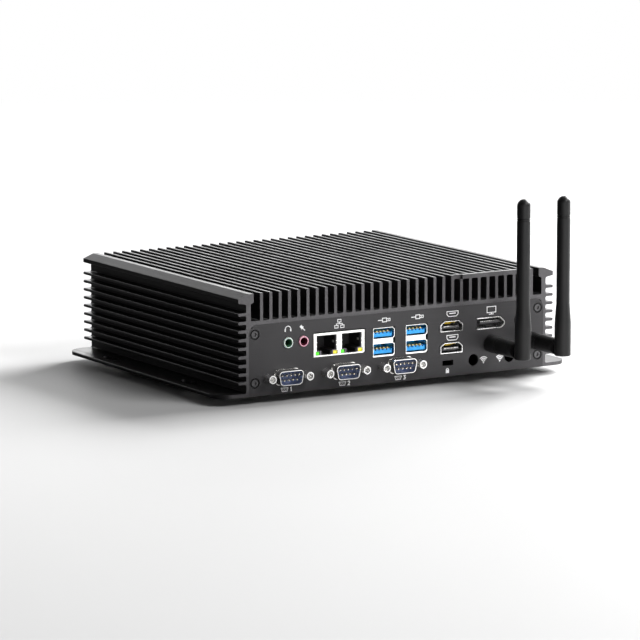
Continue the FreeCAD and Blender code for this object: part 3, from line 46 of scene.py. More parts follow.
# ------------------------------------------------------------------ materials
class Mat:
    """A node material on the Principled shader, with object coordinates in metres."""

    def __init__(self, name):
        self.mat = bpy.data.materials.new(name)
        self.mat.use_nodes = True
        self.tree = self.mat.node_tree
        self.shader = self.tree.nodes["Principled BSDF"]
        self.coords = self.node("ShaderNodeTexCoord").outputs["Object"]

    def node(self, kind, **props):
        n = self.tree.nodes.new(kind)
        for key, value in props.items():
            setattr(n, key, value)
        return n

    def link(self, a, b):
        self.tree.links.new(a, b)

    def fixed(self, **sockets):
        names = {
            "metallic": "Metallic", "ior": "IOR", "coat": "Coat Weight", "coat_rough": "Coat Roughness",
            "spec": "Specular IOR Level", "aniso": "Anisotropic", "sheen": "Sheen Weight",
            "sheen_rough": "Sheen Roughness", "transmission": "Transmission Weight", "alpha": "Alpha",
            "sub": "Subsurface Weight", "sub_scale": "Subsurface Scale", "glow": "Emission Strength",
        }
        for key, value in sockets.items():
            self.shader.inputs[names[key]].default_value = value
        return self

    def noise(self, scale, stretch=(1, 1, 1), detail=3.0, rough=0.55, seed=0.0, warp=0.0):
        m = self.node("ShaderNodeMapping")
        m.inputs["Scale"].default_value = stretch
        m.inputs["Location"].default_value = (seed * 1.37, seed * 0.71, seed * 2.11)
        self.link(self.coords, m.inputs["Vector"])
        n = self.node("ShaderNodeTexNoise")
        n.inputs["Scale"].default_value = scale
        n.inputs["Detail"].default_value = detail
        n.inputs["Roughness"].default_value = rough
        n.inputs["Distortion"].default_value = warp
        self.link(m.outputs["Vector"], n.inputs["Vector"])
        return n.outputs["Fac"]

    def cells(self, scale, stretch=(1, 1, 1)):
        m = self.node("ShaderNodeMapping")
        m.inputs["Scale"].default_value = stretch
        self.link(self.coords, m.inputs["Vector"])
        n = self.node("ShaderNodeTexVoronoi")
        n.inputs["Scale"].default_value = scale
        self.link(m.outputs["Vector"], n.inputs["Vector"])
        return n.outputs["Distance"]

    def band(self, value, lo, hi, out_lo=0.0, out_hi=1.0):
        n = self.node("ShaderNodeMapRange")
        n.clamp = True
        n.inputs["From Min"].default_value = lo
        n.inputs["From Max"].default_value = hi
        n.inputs["To Min"].default_value = out_lo
        n.inputs["To Max"].default_value = out_hi
        self.link(value, n.inputs["Value"])
        return n.outputs["Result"]

    def math(self, op, a, b=None, c=None):
        n = self.node("ShaderNodeMath", operation=op)
        for i, v in enumerate((a, b, c)):
            if v is None:
                continue
            if isinstance(v, (int, float)):
                n.inputs[i].default_value = v
            else:
                self.link(v, n.inputs[i])
        return n.outputs[0]

    def mix(self, fac, a, b):
        n = self.node("ShaderNodeMix", data_type="RGBA")
        for i, v in ((0, fac), (6, a), (7, b)):
            if isinstance(v, (int, float)):
                n.inputs[i].default_value = v
            elif isinstance(v, (tuple, list)):
                n.inputs[i].default_value = (v[0], v[1], v[2], 1.0)
            else:
                self.link(v, n.inputs[i])
        return n.outputs[2]

    def colour(self, socket):
        self.link(socket, self.shader.inputs["Base Color"])
        return self

    def roughness(self, socket):
        self.link(socket, self.shader.inputs["Roughness"])
        return self

    def bump(self, *layers):
        """Layers of (height socket, distance in metres, strength)."""
        last = None
        for height, distance, strength in layers:
            n = self.node("ShaderNodeBump")
            n.inputs["Strength"].default_value = strength
            n.inputs["Distance"].default_value = distance
            self.link(height, n.inputs["Height"])
            if last is not None:
                self.link(last, n.inputs["Normal"])
            last = n.outputs["Normal"]
        self.link(last, self.shader.inputs["Normal"])
        return self

    def axis(self, which):
        n = self.node("ShaderNodeSeparateXYZ")
        self.link(self.coords, n.inputs[0])
        return n.outputs[which]


def grey(v):
    return (v, v * 0.985, v * 1.01)


def scaled(c, k):
    return tuple(min(1.0, x * k) for x in c)


def anodised(name, base, rough, draw_axis=None, metallic=0.75, edge=None):
    """Blasted and anodised aluminium: a fine even grain, faint draw lines along the extrusion,
    cloudy changes of shade and a few rubbed patches."""
    m = Mat(name).fixed(metallic=metallic)
    cloud = m.noise(22.0, detail=4.0, seed=1.0)
    fine = m.noise(2600.0, detail=2.0, seed=2.0)
    stretch = {"Y": (1, 0.012, 1), "X": (0.012, 1, 1), "Z": (1, 1, 0.012), None: (1, 1, 1)}[draw_axis]
    lines = m.noise(1500.0, stretch=stretch, detail=3.0, seed=3.0)
    shade = m.mix(m.band(cloud, 0.35, 0.68), scaled(base, 0.88), scaled(base, 1.12))
    shade = m.mix(m.band(lines, 0.4, 0.75, 0.0, 0.35), shade, scaled(base, 1.3))
    shade = m.mix(m.band(fine, 0.55, 0.8, 0.0, 0.25), shade, scaled(base, 0.7))
    m.colour(shade)
    r = m.math("ADD", m.band(cloud, 0.3, 0.7, rough - 0.04, rough + 0.05), m.band(lines, 0.35, 0.7, -0.03, 0.04))
    smudge = m.noise(55.0, detail=6.0, rough=0.7, seed=9.0, warp=0.6)
    m.roughness(m.math("ADD", r, m.band(smudge, 0.6, 0.75, 0.0, 0.06)))
    m.bump((fine, 0.00001, 0.2), (lines, 0.00001, 0.15))
    return m


def plate_metal(name, base, rough, metallic=1.0, tarnish=(0.6, 0.57, 0.5), stretch=(1, 1, 1)):
    """Nickel or zinc plate: fine rolling lines, faint stains and handling marks."""
    m = Mat(name).fixed(metallic=metallic)
    stain = m.noise(180.0, detail=5.0, seed=4.0)
    lines = m.noise(1800.0, stretch=stretch, detail=2.0, seed=5.0)
    shade = m.mix(m.band(stain, 0.5, 0.8, 0.0, 0.45), base, tuple(b * t / 0.6 * 0.8 for b, t in zip(base, tarnish)))
    shade = m.mix(m.band(lines, 0.4, 0.8, 0.0, 0.2), shade, scaled(base, 0.8))
    m.colour(shade)
    m.roughness(m.math("ADD", m.band(stain, 0.35, 0.75, rough - 0.04, rough + 0.1), m.band(lines, 0.3, 0.7, -0.02, 0.05)))
    m.bump((lines, 0.00001, 0.3))
    return m


def plastic(name, base, rough, grain=900.0, depth=0.00003, strength=0.3, spec=0.5, coat=0.0, sub=0.0, flow=0.12):
    """Moulded plastic: spark-eroded grain, slow flow marks and a little dust in the grain."""
    m = Mat(name).fixed(spec=spec)
    if coat:
        m.fixed(coat=coat, coat_rough=0.12)
    if sub:
        m.fixed(sub=sub, sub_scale=0.001)
    slow = m.noise(60.0, detail=3.0, seed=6.0)
    fine = m.noise(grain, detail=3.0, seed=7.0)
    pits = m.cells(grain * 1.6)
    shade = m.mix(m.band(slow, 0.3, 0.7), scaled(base, 1.0 - flow), scaled(base, 1.0 + flow))
    shade = m.mix(m.band(fine, 0.6, 0.85, 0.0, 0.3), shade, tuple(min(1.0, b * 1.25 + 0.006) for b in base))
    m.colour(shade)
    m.roughness(m.math("ADD", m.band(slow, 0.3, 0.7, rough - 0.04, rough + 0.04), m.band(fine, 0.3, 0.7, -0.04, 0.05)))
    m.bump((fine, depth, strength), (pits, depth * 0.5, strength * 0.6))
    return m


MATS = {}


def use(material, slot_name, *names):
    MATS[material.mat.name] = material.mat
    for name in names:
        obj = NODES[name] if isinstance(name, str) else name
        if len(obj.material_slots) == 0:
            obj.data.materials.append(material.mat)
        for s in obj.material_slots:
            s.material = material.mat


extrusion = anodised("anodised_extrusion", (0.030, 0.0294, 0.0305), 0.34, "Y", metallic=0.6)
# painted light: the sawn ends, the faces square to the extrusion's length, are coloured lighter than the drawn faces,
# standing in for light falling on them
ends = extrusion.node("ShaderNodeSeparateXYZ")
extrusion.link(extrusion.node("ShaderNodeNewGeometry").outputs["True Normal"], ends.inputs[0])
end_light_mask = extrusion.band(extrusion.math("ABSOLUTE", ends.outputs[1]), 0.90, 0.98)
drawn = extrusion.shader.inputs["Base Color"].links[0].from_socket
grit = extrusion.noise(900.0, stretch=(1, 0.05, 1), detail=3.0, seed=12.0)
extrusion.colour(extrusion.mix(end_light_mask, drawn, extrusion.mix(extrusion.band(grit, 0.3, 0.7), (0.082, 0.079, 0.083), (0.098, 0.095, 0.099))))
use(extrusion, "anodised_dark_grey", "chassis_extrusion")

panel = anodised("anodised_panel", (0.044, 0.0425, 0.0445), 0.46, "X", metallic=0.45)
use(panel, "panel_dark_grey", "io_panel", "power_panel", "bottom_cover")

screws = plate_metal("blackened_steel_and_rim_shade", (0.100, 0.098, 0.102), 0.40, metallic=0.6, tarnish=(0.6, 0.58, 0.56))
# painted shade: the rim of each head is coloured near black, standing in for the shadow of its countersink
heads = [NODES["panel_screws"].matrix_world @ v.co for v in NODES["panel_screws"].data.vertices]
heads = [v for v in heads if v.y < FACE + 0.001 and v.x > 0.0]
lows, highs = [v for v in heads if v.z < PANEL_LO.z + 0.02], [v for v in heads if v.z >= PANEL_LO.z + 0.02]
middle = lambda values: (min(values) + max(values)) / 2
spot = screws.node("ShaderNodeSeparateXYZ")
screws.link(screws.node("ShaderNodeNewGeometry").outputs["Position"], spot.inputs[0])
across = screws.math("SUBTRACT", screws.math("ABSOLUTE", spot.outputs[0]), middle([v.x for v in heads]))
rises = [screws.math("SUBTRACT", spot.outputs[2], middle([v.z for v in group])) for group in (lows, highs)]
rises = [screws.math("MULTIPLY", v, v) for v in rises]
reach = screws.math("SQRT", screws.math("ADD", screws.math("MULTIPLY", across, across), screws.math("MINIMUM", *rises)))
plated = screws.shader.inputs["Base Color"].links[0].from_socket
screws.colour(screws.mix(screws.band(reach, 0.00195, 0.00215), plated, (0.008, 0.008, 0.008)))
use(screws, "screw_black", "panel_screws", "bottom_cover_screws")

use(plastic("foot_rubber", (0.014, 0.014, 0.014), 0.75, grain=600.0, spec=0.3), "rubber_black", "rubber_feet")

nickel = plate_metal("bright_nickel", (0.86, 0.855, 0.84), 0.13)
use(nickel, "bright_nickel", "serial_shells", "network_shield", "usb_shells", "power_inlet_pin", "antenna_jack_nuts")
drawn_nickel = plate_metal("drawn_nickel", (0.96, 0.955, 0.945), 0.24)
use(drawn_nickel, "bright_nickel", "monitor_socket_shells", "display_socket_shell")
studs = plate_metal("jack_screw_nickel", (0.94, 0.935, 0.925), 0.22)
use(studs, "bright_nickel", "serial_jack_screws")
zinc = plate_metal("zinc_plate", (0.62, 0.62, 0.61), 0.32)
use(zinc, "steel_zinc", "board_screws", "card_screws", "coin_cell", "power_button_nut")
brushed = plate_metal("turned_steel", (0.66, 0.655, 0.65), 0.24, stretch=(1, 0.02, 1))
use(brushed, "steel_zinc", "power_button_bezel", "power_button_cap")
gold = plate_metal("gold_flash", (0.95, 0.68, 0.28), 0.26, tarnish=(0.6, 0.5, 0.34))
use(gold, "gold_contact", "network_contacts", "usb_contacts")
pins = plate_metal("pin_gold", (0.92, 0.84, 0.66), 0.22, tarnish=(0.6, 0.55, 0.44))
use(pins, "gold_contact", "serial_pins")
brass = plate_metal("brass", (0.80, 0.58, 0.26), 0.34, tarnish=(0.55, 0.45, 0.3))
use(brass, "brass_rod", "board_posts", "card_posts", "antenna_jacks", "antenna_radiator_left", "antenna_radiator_right")

use(plastic("slate_insert", (0.090, 0.124, 0.260), 0.42, grain=1400.0), "insert_slate", "serial_inserts")
# painted light: the tongues are a lighter grey copy of the black moulding, standing in for the light on their fronts
use(plastic("tongue_painted_light", (0.058, 0.057, 0.060), 0.42, grain=1500.0), "plastic_black",
    "monitor_socket_tongues", "display_socket_tongue")
use(plastic("black_moulding", (0.016, 0.016, 0.017), 0.5, grain=1500.0), "plastic_black",
    "network_core", "power_inlet", "memory_socket",
    "card_sockets", "coin_cell_holder", "serial_headers", "power_switch")
antenna = plastic("antenna_moulding", (0.0052, 0.0051, 0.0053), 0.44, grain=750.0, depth=0.00004, strength=0.35, spec=0.3)
use(antenna, "plastic_black", "antenna_collars", "antenna_knuckle_left", "antenna_knuckle_right",
    "antenna_whip_left", "antenna_whip_right")
use(plastic("blue_moulding", (0.020, 0.39, 1.0), 0.33, grain=1600.0, sub=0.05), "plastic_blue", "usb_tongues")


def socket_moulding(name, rim, bore, node_name, slot_name):
    """A coloured socket: pale at its rim, with painted shade inside the bore, where the colour turns deep and dark."""
    m = plastic(name, rim, 0.32, grain=1500.0, sub=0.05)
    pale = m.shader.inputs["Base Color"].links[0].from_socket
    lo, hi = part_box(node_name)
    where = m.node("ShaderNodeNewGeometry").outputs["Position"]
    parts = m.node("ShaderNodeSeparateXYZ")
    m.link(where, parts.inputs[0])
    mid_x, mid_z = (lo.x + hi.x) / 2, (lo.z + hi.z) / 2
    dx = m.math("SUBTRACT", parts.outputs[0], mid_x)
    dz = m.math("SUBTRACT", parts.outputs[2], mid_z)
    radius = m.math("SQRT", m.math("ADD", m.math("MULTIPLY", dx, dx), m.math("MULTIPLY", dz, dz)))
    # painted shade: within the bore's radius the colour turns to the dark bore tone
    m.colour(m.mix(m.band(radius, 0.00238, 0.00252), bore, pale))
    use(m, slot_name, node_name)


socket_moulding("green_moulding", (0.80, 0.95, 0.86), (0.035, 0.13, 0.065), "headphone_socket", "plastic_green")
socket_moulding("pink_moulding", (0.98, 0.46, 0.58), (0.10, 0.015, 0.03), "microphone_socket", "plastic_pink")
use(plastic("grey_ribbon", (0.42, 0.42, 0.42), 0.5, grain=700.0), "ribbon_grey", "serial_ribbons")
use(plastic("black_lead", (0.02, 0.02, 0.02), 0.45, grain=800.0), "lead_black", "antenna_leads", "button_lead")
use(plastic("thermal_pad", (0.33, 0.36, 0.40), 0.8, grain=500.0, spec=0.2), "pad_grey", "thermal_pad")
spreader = anodised("milled_aluminium", (0.62, 0.62, 0.63), 0.3, "X", metallic=1.0)
use(spreader, "spreader_metal", "heat_spreader")
use(plastic("chip_package", (0.03, 0.03, 0.032), 0.45, grain=1200.0), "silicon_package", "processor")
use(plastic("solder_mask", (0.01, 0.07, 0.035), 0.3, grain=900.0, coat=0.3), "board_green",
    "mainboard", "memory_module", "storage_drive", "wireless_card")


def lamp(name, base, glow_colour, glow):
    m = plastic(name, base, 0.2, grain=1200.0, coat=0.4, sub=0.2)
    slow = m.noise(900.0, detail=2.0, seed=8.0)
    m.link(m.mix(m.band(slow, 0.3, 0.7), scaled(glow_colour, 0.7), glow_colour), m.shader.inputs["Emission Color"])
    m.fixed(glow=glow)
    return m


use(lamp("lamp_green", (0.06, 0.60, 0.004), (0.07, 0.80, 0.003), 0.55), "lamp_green", "network_lamps_green")
use(lamp("lamp_yellow", (0.75, 0.66, 0.01), (0.80, 0.72, 0.008), 0.55), "lamp_yellow", "network_lamps_yellow")
use(lamp("lamp_blue", (0.05, 0.16, 0.7), (0.1, 0.3, 1.0), 0.1), "lamp_blue", "power_lamp")

# CAD faces that are curved are shaded round; flat ones meet at crisp edges.
for name, obj in NODES.items():
    obj.data.polygons.foreach_set("use_smooth", [True] * len(obj.data.polygons))
    obj.data.set_sharp_from_angle(angle=math.radians(28.0))


# where a whip's cone meets its straight lengths the moulding shows a line
for name in ("antenna_whip_left", "antenna_whip_right"):
    me = NODES[name].data
    lo, hi = (min(v.co.z for v in me.vertices), max(v.co.z for v in me.vertices))
    shape = bmesh.new()
    shape.from_mesh(me)
    for edge in shape.edges:
        if len(edge.link_faces) == 2 and max(v.co.z for v in edge.verts) < lo + 0.6 * (hi - lo):
            a, b = (math.asin(max(-1.0, min(1.0, f.normal.z))) for f in edge.link_faces)
            if abs(a - b) > math.radians(1.5):
                edge.smooth = False
    rings = [not e.smooth for e in shape.edges]
    shape.free()
    me.edges.foreach_set("use_edge_sharp", rings)


# ------------------------------------------------------------- printed marks
BOLD = 1.2                                        # printed lines spread a little


class Print:
    """Flat marks printed on the port panel, drawn in the panel's own mm (x from its left edge, z from its foot)."""

    def __init__(self):
        self.bm = bmesh.new()
        self.front, self.back = FACE - 0.00003, FACE + 0.00002

    def at(self, p, y):
        return self.bm.verts.new((PANEL_LO.x + p[0] * MM, y, PANEL_LO.z + p[1] * MM))

    def next_front(self):
        self.front -= 0.0000002
        return self.front

    def prism(self, pts):
        area = sum(a[0] * b[1] - b[0] * a[1] for a, b in zip(pts, pts[1:] + pts[:1]))
        if area < 0:
            pts = pts[::-1]
        front = self.next_front()
        near = [self.at(p, front) for p in pts]
        far = [self.at(p, self.back) for p in pts]
        self.bm.faces.new(near)
        self.bm.faces.new(far[::-1])
        for i in range(len(pts)):
            j = (i + 1) % len(pts)
            self.bm.faces.new((near[j], near[i], far[i], far[j]))

    def dot(self, x, z, r, n=14):
        self.prism([(x + r * math.cos(2 * math.pi * i / n), z + r * math.sin(2 * math.pi * i / n)) for i in range(n)])

    def stroke(self, pts, width, closed=False):
        """A line of the given width: one mitred ribbon with square ends."""
        w, n = width * BOLD / 2, len(pts)

        def along(i, j):
            dx, dz = pts[j][0] - pts[i][0], pts[j][1] - pts[i][1]
            length = math.hypot(dx, dz)
            return dx / length, dz / length

        left, right = [], []
        for i in range(n):
            ends = [along((i - 1) % n, i)] if closed or i > 0 else []
            ends += [along(i, (i + 1) % n)] if closed or i < n - 1 else []
            first, last = ends[0], ends[-1]
            mx, mz = -(first[1] + last[1]), first[0] + last[0]
            length = math.hypot(mx, mz)
            mx, mz = mx / length, mz / length
            reach = w / max(0.5, mx * -first[1] + mz * first[0])
            x, z = pts[i]
            if not closed and i in (0, n - 1):
                out = -0.35 * w if i == 0 else 0.35 * w
                x, z = x + first[0] * out, z + first[1] * out
            left.append((x + mx * reach, z + mz * reach))
            right.append((x - mx * reach, z - mz * reach))
        front = self.next_front()
        ln, rn = [self.at(p, front) for p in left], [self.at(p, front) for p in right]
        lf, rf = [self.at(p, self.back) for p in left], [self.at(p, self.back) for p in right]
        for i in range(n if closed else n - 1):
            j = (i + 1) % n
            self.bm.faces.new((ln[i], rn[i], rn[j], ln[j]))
            self.bm.faces.new((lf[j], rf[j], rf[i], lf[i]))
            self.bm.faces.new((ln[j], lf[j], lf[i], ln[i]))
            self.bm.faces.new((rn[i], rf[i], rf[j], rn[j]))
        if not closed:
            self.bm.faces.new((rn[0], ln[0], lf[0], rf[0]))
            self.bm.faces.new((ln[-1], rn[-1], rf[-1], lf[-1]))

    def arc(self, x, z, r, a0, a1, width, n=12):
        pts = [(x + r * math.cos(math.radians(a0 + (a1 - a0) * i / n)),
                z + r * math.sin(math.radians(a0 + (a1 - a0) * i / n))) for i in range(n + 1)]
        self.stroke(pts, width)

    def make(self, name, body, material, slot_name):
        bmesh.ops.recalc_face_normals(self.bm, faces=self.bm.faces)
        me = bpy.data.meshes.new(name)
        self.bm.to_mesh(me)
        self.bm.free()
        obj = bpy.data.objects.new(name, me)
        scene.collection.objects.link(obj)
        obj.data.materials.append(material.mat)
        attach(obj, body)
        return obj


ink = plastic("screen_ink", (0.90, 0.90, 0.90), 0.55, grain=1800.0, depth=0.00001, strength=0.2, flow=0.08)
marks = Print()
W = 0.42
# headphones
marks.arc(25.9, 37.3, 1.85, 0, 180, W)
for side in (-1, 1):
    marks.prism([(25.9 + side * 1.85 - 0.45, 36.0), (25.9 + side * 1.85 + 0.45, 36.0),
                 (25.9 + side * 1.85 + 0.45, 37.5), (25.9 + side * 1.85 - 0.45, 37.5)])
# microphone on its lead
marks.stroke([(34.4, 38.5), (35.3, 37.6)], 1.3)
marks.stroke([(35.5, 37.4), (37.2, 35.8)], 0.5)
marks.arc(34.9, 38.0, 1.25, -100, 10, 0.3)
# network: one box over two
for x, z in ((60.5, 39.5), (58.5, 36.1), (62.5, 36.1)):
    marks.stroke([(x - 1.15, z - 0.75), (x + 1.15, z - 0.75), (x + 1.15, z + 0.75), (x - 1.15, z + 0.75)], 0.36, closed=True)
marks.stroke([(60.5, 38.7), (60.5, 37.8)], 0.36)
marks.stroke([(58.5, 36.9), (58.5, 37.8), (62.5, 37.8), (62.5, 36.9)], 0.36)
# plug on its lead, over both stacked sockets
for x in (91.1, 114.1):
    marks.stroke([(x - 4.2, 37.4), (x - 1.2, 37.4)], 0.4)
    marks.stroke([(x - 1.2, 36.3), (x + 1.6, 36.3), (x + 1.6, 38.5), (x - 1.2, 38.5)], 0.4, closed=True)
    marks.stroke([(x + 1.6, 36.7), (x + 4.0, 36.7), (x + 4.0, 38.1), (x + 1.6, 38.1)], 0.34, closed=True)
    marks.dot(x + 2.8, 37.4, 0.3)
# outline of the monitor plug, over both sockets
for z in (37.2, 23.0):
    marks.stroke([(134.6, z + 1.5), (142.4, z + 1.5), (142.4, z - 0.2), (141.2, z - 1.5), (135.8, z - 1.5), (134.6, z - 0.2)],
                 0.36, closed=True)
    marks.stroke([(136.4, z + 0.3), (140.6, z + 0.3)], 0.5)
# monitor
marks.stroke([(162.8, 35.8), (169.0, 35.8), (169.0, 39.3), (162.8, 39.3)], 0.4, closed=True)
marks.stroke([(165.9, 35.8), (165.9, 34.9)], 0.5)
marks.stroke([(164.3, 34.8), (167.5, 34.8)], 0.4)
# padlock
marks.prism([(134.0, 2.0), (136.2, 2.0), (136.2, 3.9), (134.0, 3.9)])
marks.arc(135.1, 3.9, 0.8, 0, 180, 0.45)
# radio waves beside both spare holes
for x in (160.5, 172.0):
    marks.prism([(x, 5.4), (x + 0.75, 6.6), (x, 6.95), (x - 0.75, 6.6)])
    for r in (1.55, 2.5, 3.45):
        marks.arc(x, 6.1, r, 47, 133, 0.56)
# power inlet: a socket with its pin
marks.arc(186.2, 37.7, 1.2, 40, 320, 0.36)
marks.dot(186.2, 37.7, 0.45)
# a D-shaped plug and a numeral under each serial port
DIGITS = {
    1: [[(-0.4, 0.6), (0.1, 1.1), (0.1, -1.1)]],
    2: [[(-0.6, 0.7), (-0.2, 1.1), (0.4, 1.1), (0.65, 0.6), (0.5, 0.1), (-0.6, -1.1), (0.7, -1.1)]],
    3: [[(-0.6, 1.1), (0.6, 1.1), (0.0, 0.2), (0.5, 0.0), (0.6, -0.6), (0.2, -1.1), (-0.6, -1.0)]],
}
for number, x in ((1, 25.3), (2, 64.3), (3, 102.5)):
    z = 2.2
    marks.stroke([(x - 4.0, z + 1.0), (x + 0.6, z + 1.0), (x - 0.1, z - 1.0), (x - 3.3, z - 1.0)], 0.40, closed=True)
    for i in range(3):
        marks.dot(x - 2.9 + i * 1.15, z + 0.25, 0.24, 8)
    for i in range(2):
        marks.dot(x - 2.3 + i * 1.15, z - 0.35, 0.24, 8)
    for line in DIGITS[number]:
        marks.stroke([(x + 2.6 + px, z + pz) for px, pz in line], 0.55)
marks.make("port_marks", "computer", ink, "ribbon_grey")

# -------------------------------------------------- fine metalwork in the sockets
class Piece:
    """Small folded and stamped pieces. Sizes in mm: x from the panel's middle, y behind its face, z from its foot."""

    def __init__(self):
        self.bm = bmesh.new()

    def at(self, x, y, z):
        return self.bm.verts.new(((PANEL_LO.x + PANEL_HI.x) / 2 + x * MM, FACE + y * MM, PANEL_LO.z + z * MM))

    def sweep(self, near, far):
        a = [self.at(*p) for p in near]
        b = [self.at(*p) for p in far]
        self.bm.faces.new(a)
        self.bm.faces.new(b[::-1])
        for i in range(len(a)):
            j = (i + 1) % len(a)
            self.bm.faces.new((a[j], a[i], b[i], b[j]))

    def stamped(self, outline, y0, y1):
        """An outline in x and z, from y0 back to y1."""
        self.sweep([(x, y0, z) for x, z in outline], [(x, y1, z) for x, z in outline])

    def leaf(self, path, thick, x0, x1):
        """A strip bent along a path in y and z, from x0 to x1."""
        up, down = [], []
        for i, (y, z) in enumerate(path):
            a, b = path[max(0, i - 1)], path[min(len(path) - 1, i + 1)]
            dy, dz = b[0] - a[0], b[1] - a[1]
            length = math.hypot(dy, dz)
            ny, nz = -dz / length * thick / 2, dy / length * thick / 2
            up.append((y + ny, z + nz))
            down.append((y - ny, z - nz))
        ring = up + down[::-1]
        self.sweep([(x0, y, z) for y, z in ring], [(x1, y, z) for y, z in ring])

    def make(self, name, body, material, slot_name, bevel=0.03):
        bmesh.ops.recalc_face_normals(self.bm, faces=self.bm.faces)
        sharp = [e for e in self.bm.edges if len(e.link_faces) == 2 and e.calc_face_angle() > math.radians(40)]
        bmesh.ops.bevel(self.bm, geom=sharp, offset=bevel * MM, segments=2, affect="EDGES", profile=0.5, clamp_overlap=True)
        me = bpy.data.meshes.new(name)
        self.bm.to_mesh(me)
        self.bm.free()
        obj = bpy.data.objects.new(name, me)
        scene.collection.objects.link(obj)
        obj.data.materials.append(material.mat)
        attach(obj, body)
        return obj


def panel_mm(v):
    """A point of the frame in the panel's own mm."""
    return ((v.x - (PANEL_LO.x + PANEL_HI.x) / 2) / MM, (v.y - FACE) / MM, (v.z - PANEL_LO.z) / MM)


# network socket: a frame round each lamp, a wall contact in each port, teeth under each latch
net_lo, net_hi = (panel_mm(v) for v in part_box("network_shield"))
green_lo, green_hi = (panel_mm(v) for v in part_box("network_lamps_green"))
yellow_lo, yellow_hi = (panel_mm(v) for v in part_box("network_lamps_yellow"))
ports = [(green_lo[0] + yellow_lo[0] + 2.6) / 2, (green_hi[0] + yellow_hi[0] - 2.6) / 2]
low = net_lo[2]
frames = Piece()
for port in ports:
    for side in (-1, 1):
        a, b, c, d = 3.75, 4.5, 6.7, 7.35
        pts = [(a, 0.9), (b, 0.9), (b, 3.02), (d, 3.02), (d, 3.2), (c, 3.2), (c, 3.45), (a + 0.3, 3.45), (a, 3.2)]
        pts = [(port + side * x, low + z) for x, z in pts]
        frames.stamped(pts if side > 0 else pts[::-1], -0.42, -0.07)
smoke = plastic("lamp_frame_moulding", (0.155, 0.135, 0.175), 0.35, grain=1500.0)
frames.make("network_lamp_frames", "computer", smoke, "ribbon_grey")
fingers, tabs = Piece(), Piece()
for port in ports:
    tabs.leaf([(1.6, low + 8.0), (3.2, low + 8.0)], 1.4, port + 5.72, port + 5.93)
    for i in range(7):
        x = port - 2.3 + i * 0.76
        fingers.stamped([(x - 0.17, low + 0.56), (x + 0.17, low + 0.56), (x + 0.17, low + 0.86), (x - 0.17, low + 0.86)], -0.45, -0.12)
    for side in (-1, 1):
        for z in (6.2, 8.6):
            x = port + side * 6.79
            pts = [(x, low + z - 0.45), (x - side * 0.3, low + z - 0.2), (x - side * 0.3, low + z + 0.2), (x, low + z + 0.45)]
            fingers.stamped(pts, -0.45, -0.1)
tin = plate_metal("satin_tin", (0.62, 0.61, 0.60), 0.5, metallic=0.35)
tabs.make("network_wall_contacts", "computer", tin, "bright_nickel", bevel=0.03)
fingers.make("network_fingers", "computer", nickel, "bright_nickel", bevel=0.02)

# stacked sockets: painted shade: a dark plate at the back of each notch in the tongues' front edges, standing in for
# the shadow in the notch
usb_lo, usb_hi = (panel_mm(v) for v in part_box("usb_shells"))
stack = usb_hi[2] - usb_lo[2]
shade_plates = Piece()
for centre in (usb_lo[0] + 7.4, usb_hi[0] - 7.4):
    for edge in (usb_lo[2] + 4.3, usb_lo[2] + 14.2):
        for along in (-5.0, -2.5, 0.0, 2.6, 5.0):
            x0, x1 = centre + along - 0.5, centre + along + 0.5
            shade_plates.stamped([(x0, edge - 0.7), (x1, edge - 0.7), (x1, edge - 0.06), (x0, edge - 0.06)], 1.05, 1.46)
shade_plate = plastic("notch_shade_plate", (0.012, 0.016, 0.03), 0.6, grain=1500.0)
shade_plates.make("usb_notch_shade_plates", "computer", shade_plate, "plastic_black", bevel=0.03)

# monitor sockets: two leaf springs under each roof and contact strips on each tongue
leaves, strips = Piece(), Piece()
scr_lo, scr_hi = (panel_mm(v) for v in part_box("monitor_socket_shells"))
tng_lo, tng_hi = (panel_mm(v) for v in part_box("monitor_socket_tongues"))
mid = (scr_lo[0] + scr_hi[0]) / 2
tall = 6.3                                         # one shell, from its floor to its roof
for foot in (scr_lo[2], scr_hi[2] - tall):
    roof = foot + tall - 0.42
    for x0, x1 in ((-4.6, -0.2), (1.8, 4.4)):
        back = 0.0 if x0 < 0.0 else 2.2                # the right spring sits deeper
        leaves.leaf([(back + 0.35, roof - 0.1), (back + 0.6, roof - 1.15), (back + 1.7, roof - 1.35), (back + 4.2, roof - 0.3)],
                    0.14, mid + x0, mid + x1)
    for i in range(10):
        x = mid - 4.5 + i * 1.0
        strips.leaf([(0.55, foot + tall / 2 - 0.5), (0.55, foot + tall / 2 + 0.1), (0.75, foot + tall / 2 + 0.19), (8.8, foot + tall / 2 + 0.19)], 0.07, x - 0.2, x + 0.2)
sprung = plate_metal("spring_gold", (0.40, 0.27, 0.012), 0.40, metallic=0.75, tarnish=(0.6, 0.5, 0.34))
leaves.make("monitor_socket_springs", "computer", sprung, "gold_contact", bevel=0.02)

# display socket: contact strips along its tongue
dsp_lo, dsp_hi = (panel_mm(v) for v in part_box("display_socket_shell"))
mid, roof = (dsp_lo[0] + dsp_hi[0]) / 2, dsp_hi[2] - 0.42
top = (dsp_lo[2] + dsp_hi[2]) / 2 + 1.3
for i in range(10):
    x = mid - 6.6 + i * 1.25
    strips.leaf([(0.55, top - 0.45), (0.55, top - 0.02), (0.75, top + 0.05), (8.8, top + 0.05)], 0.07, x - 0.25, x + 0.25)
strips.make("socket_contact_strips", "computer", nickel, "bright_nickel", bevel=0.01)

# --------------------------------------------------------------- stage, light
stage_mat = Mat("floor_paper")
stage_mat.fixed(spec=0.1)
paper = stage_mat.noise(3.0, detail=2.0)
stage_mat.colour(stage_mat.mix(stage_mat.band(paper, 0.3, 0.7), (0.540, 0.540, 0.540), (0.550, 0.550, 0.550)))
stage_mat.roughness(stage_mat.band(paper, 0.3, 0.7, 0.5, 0.6))
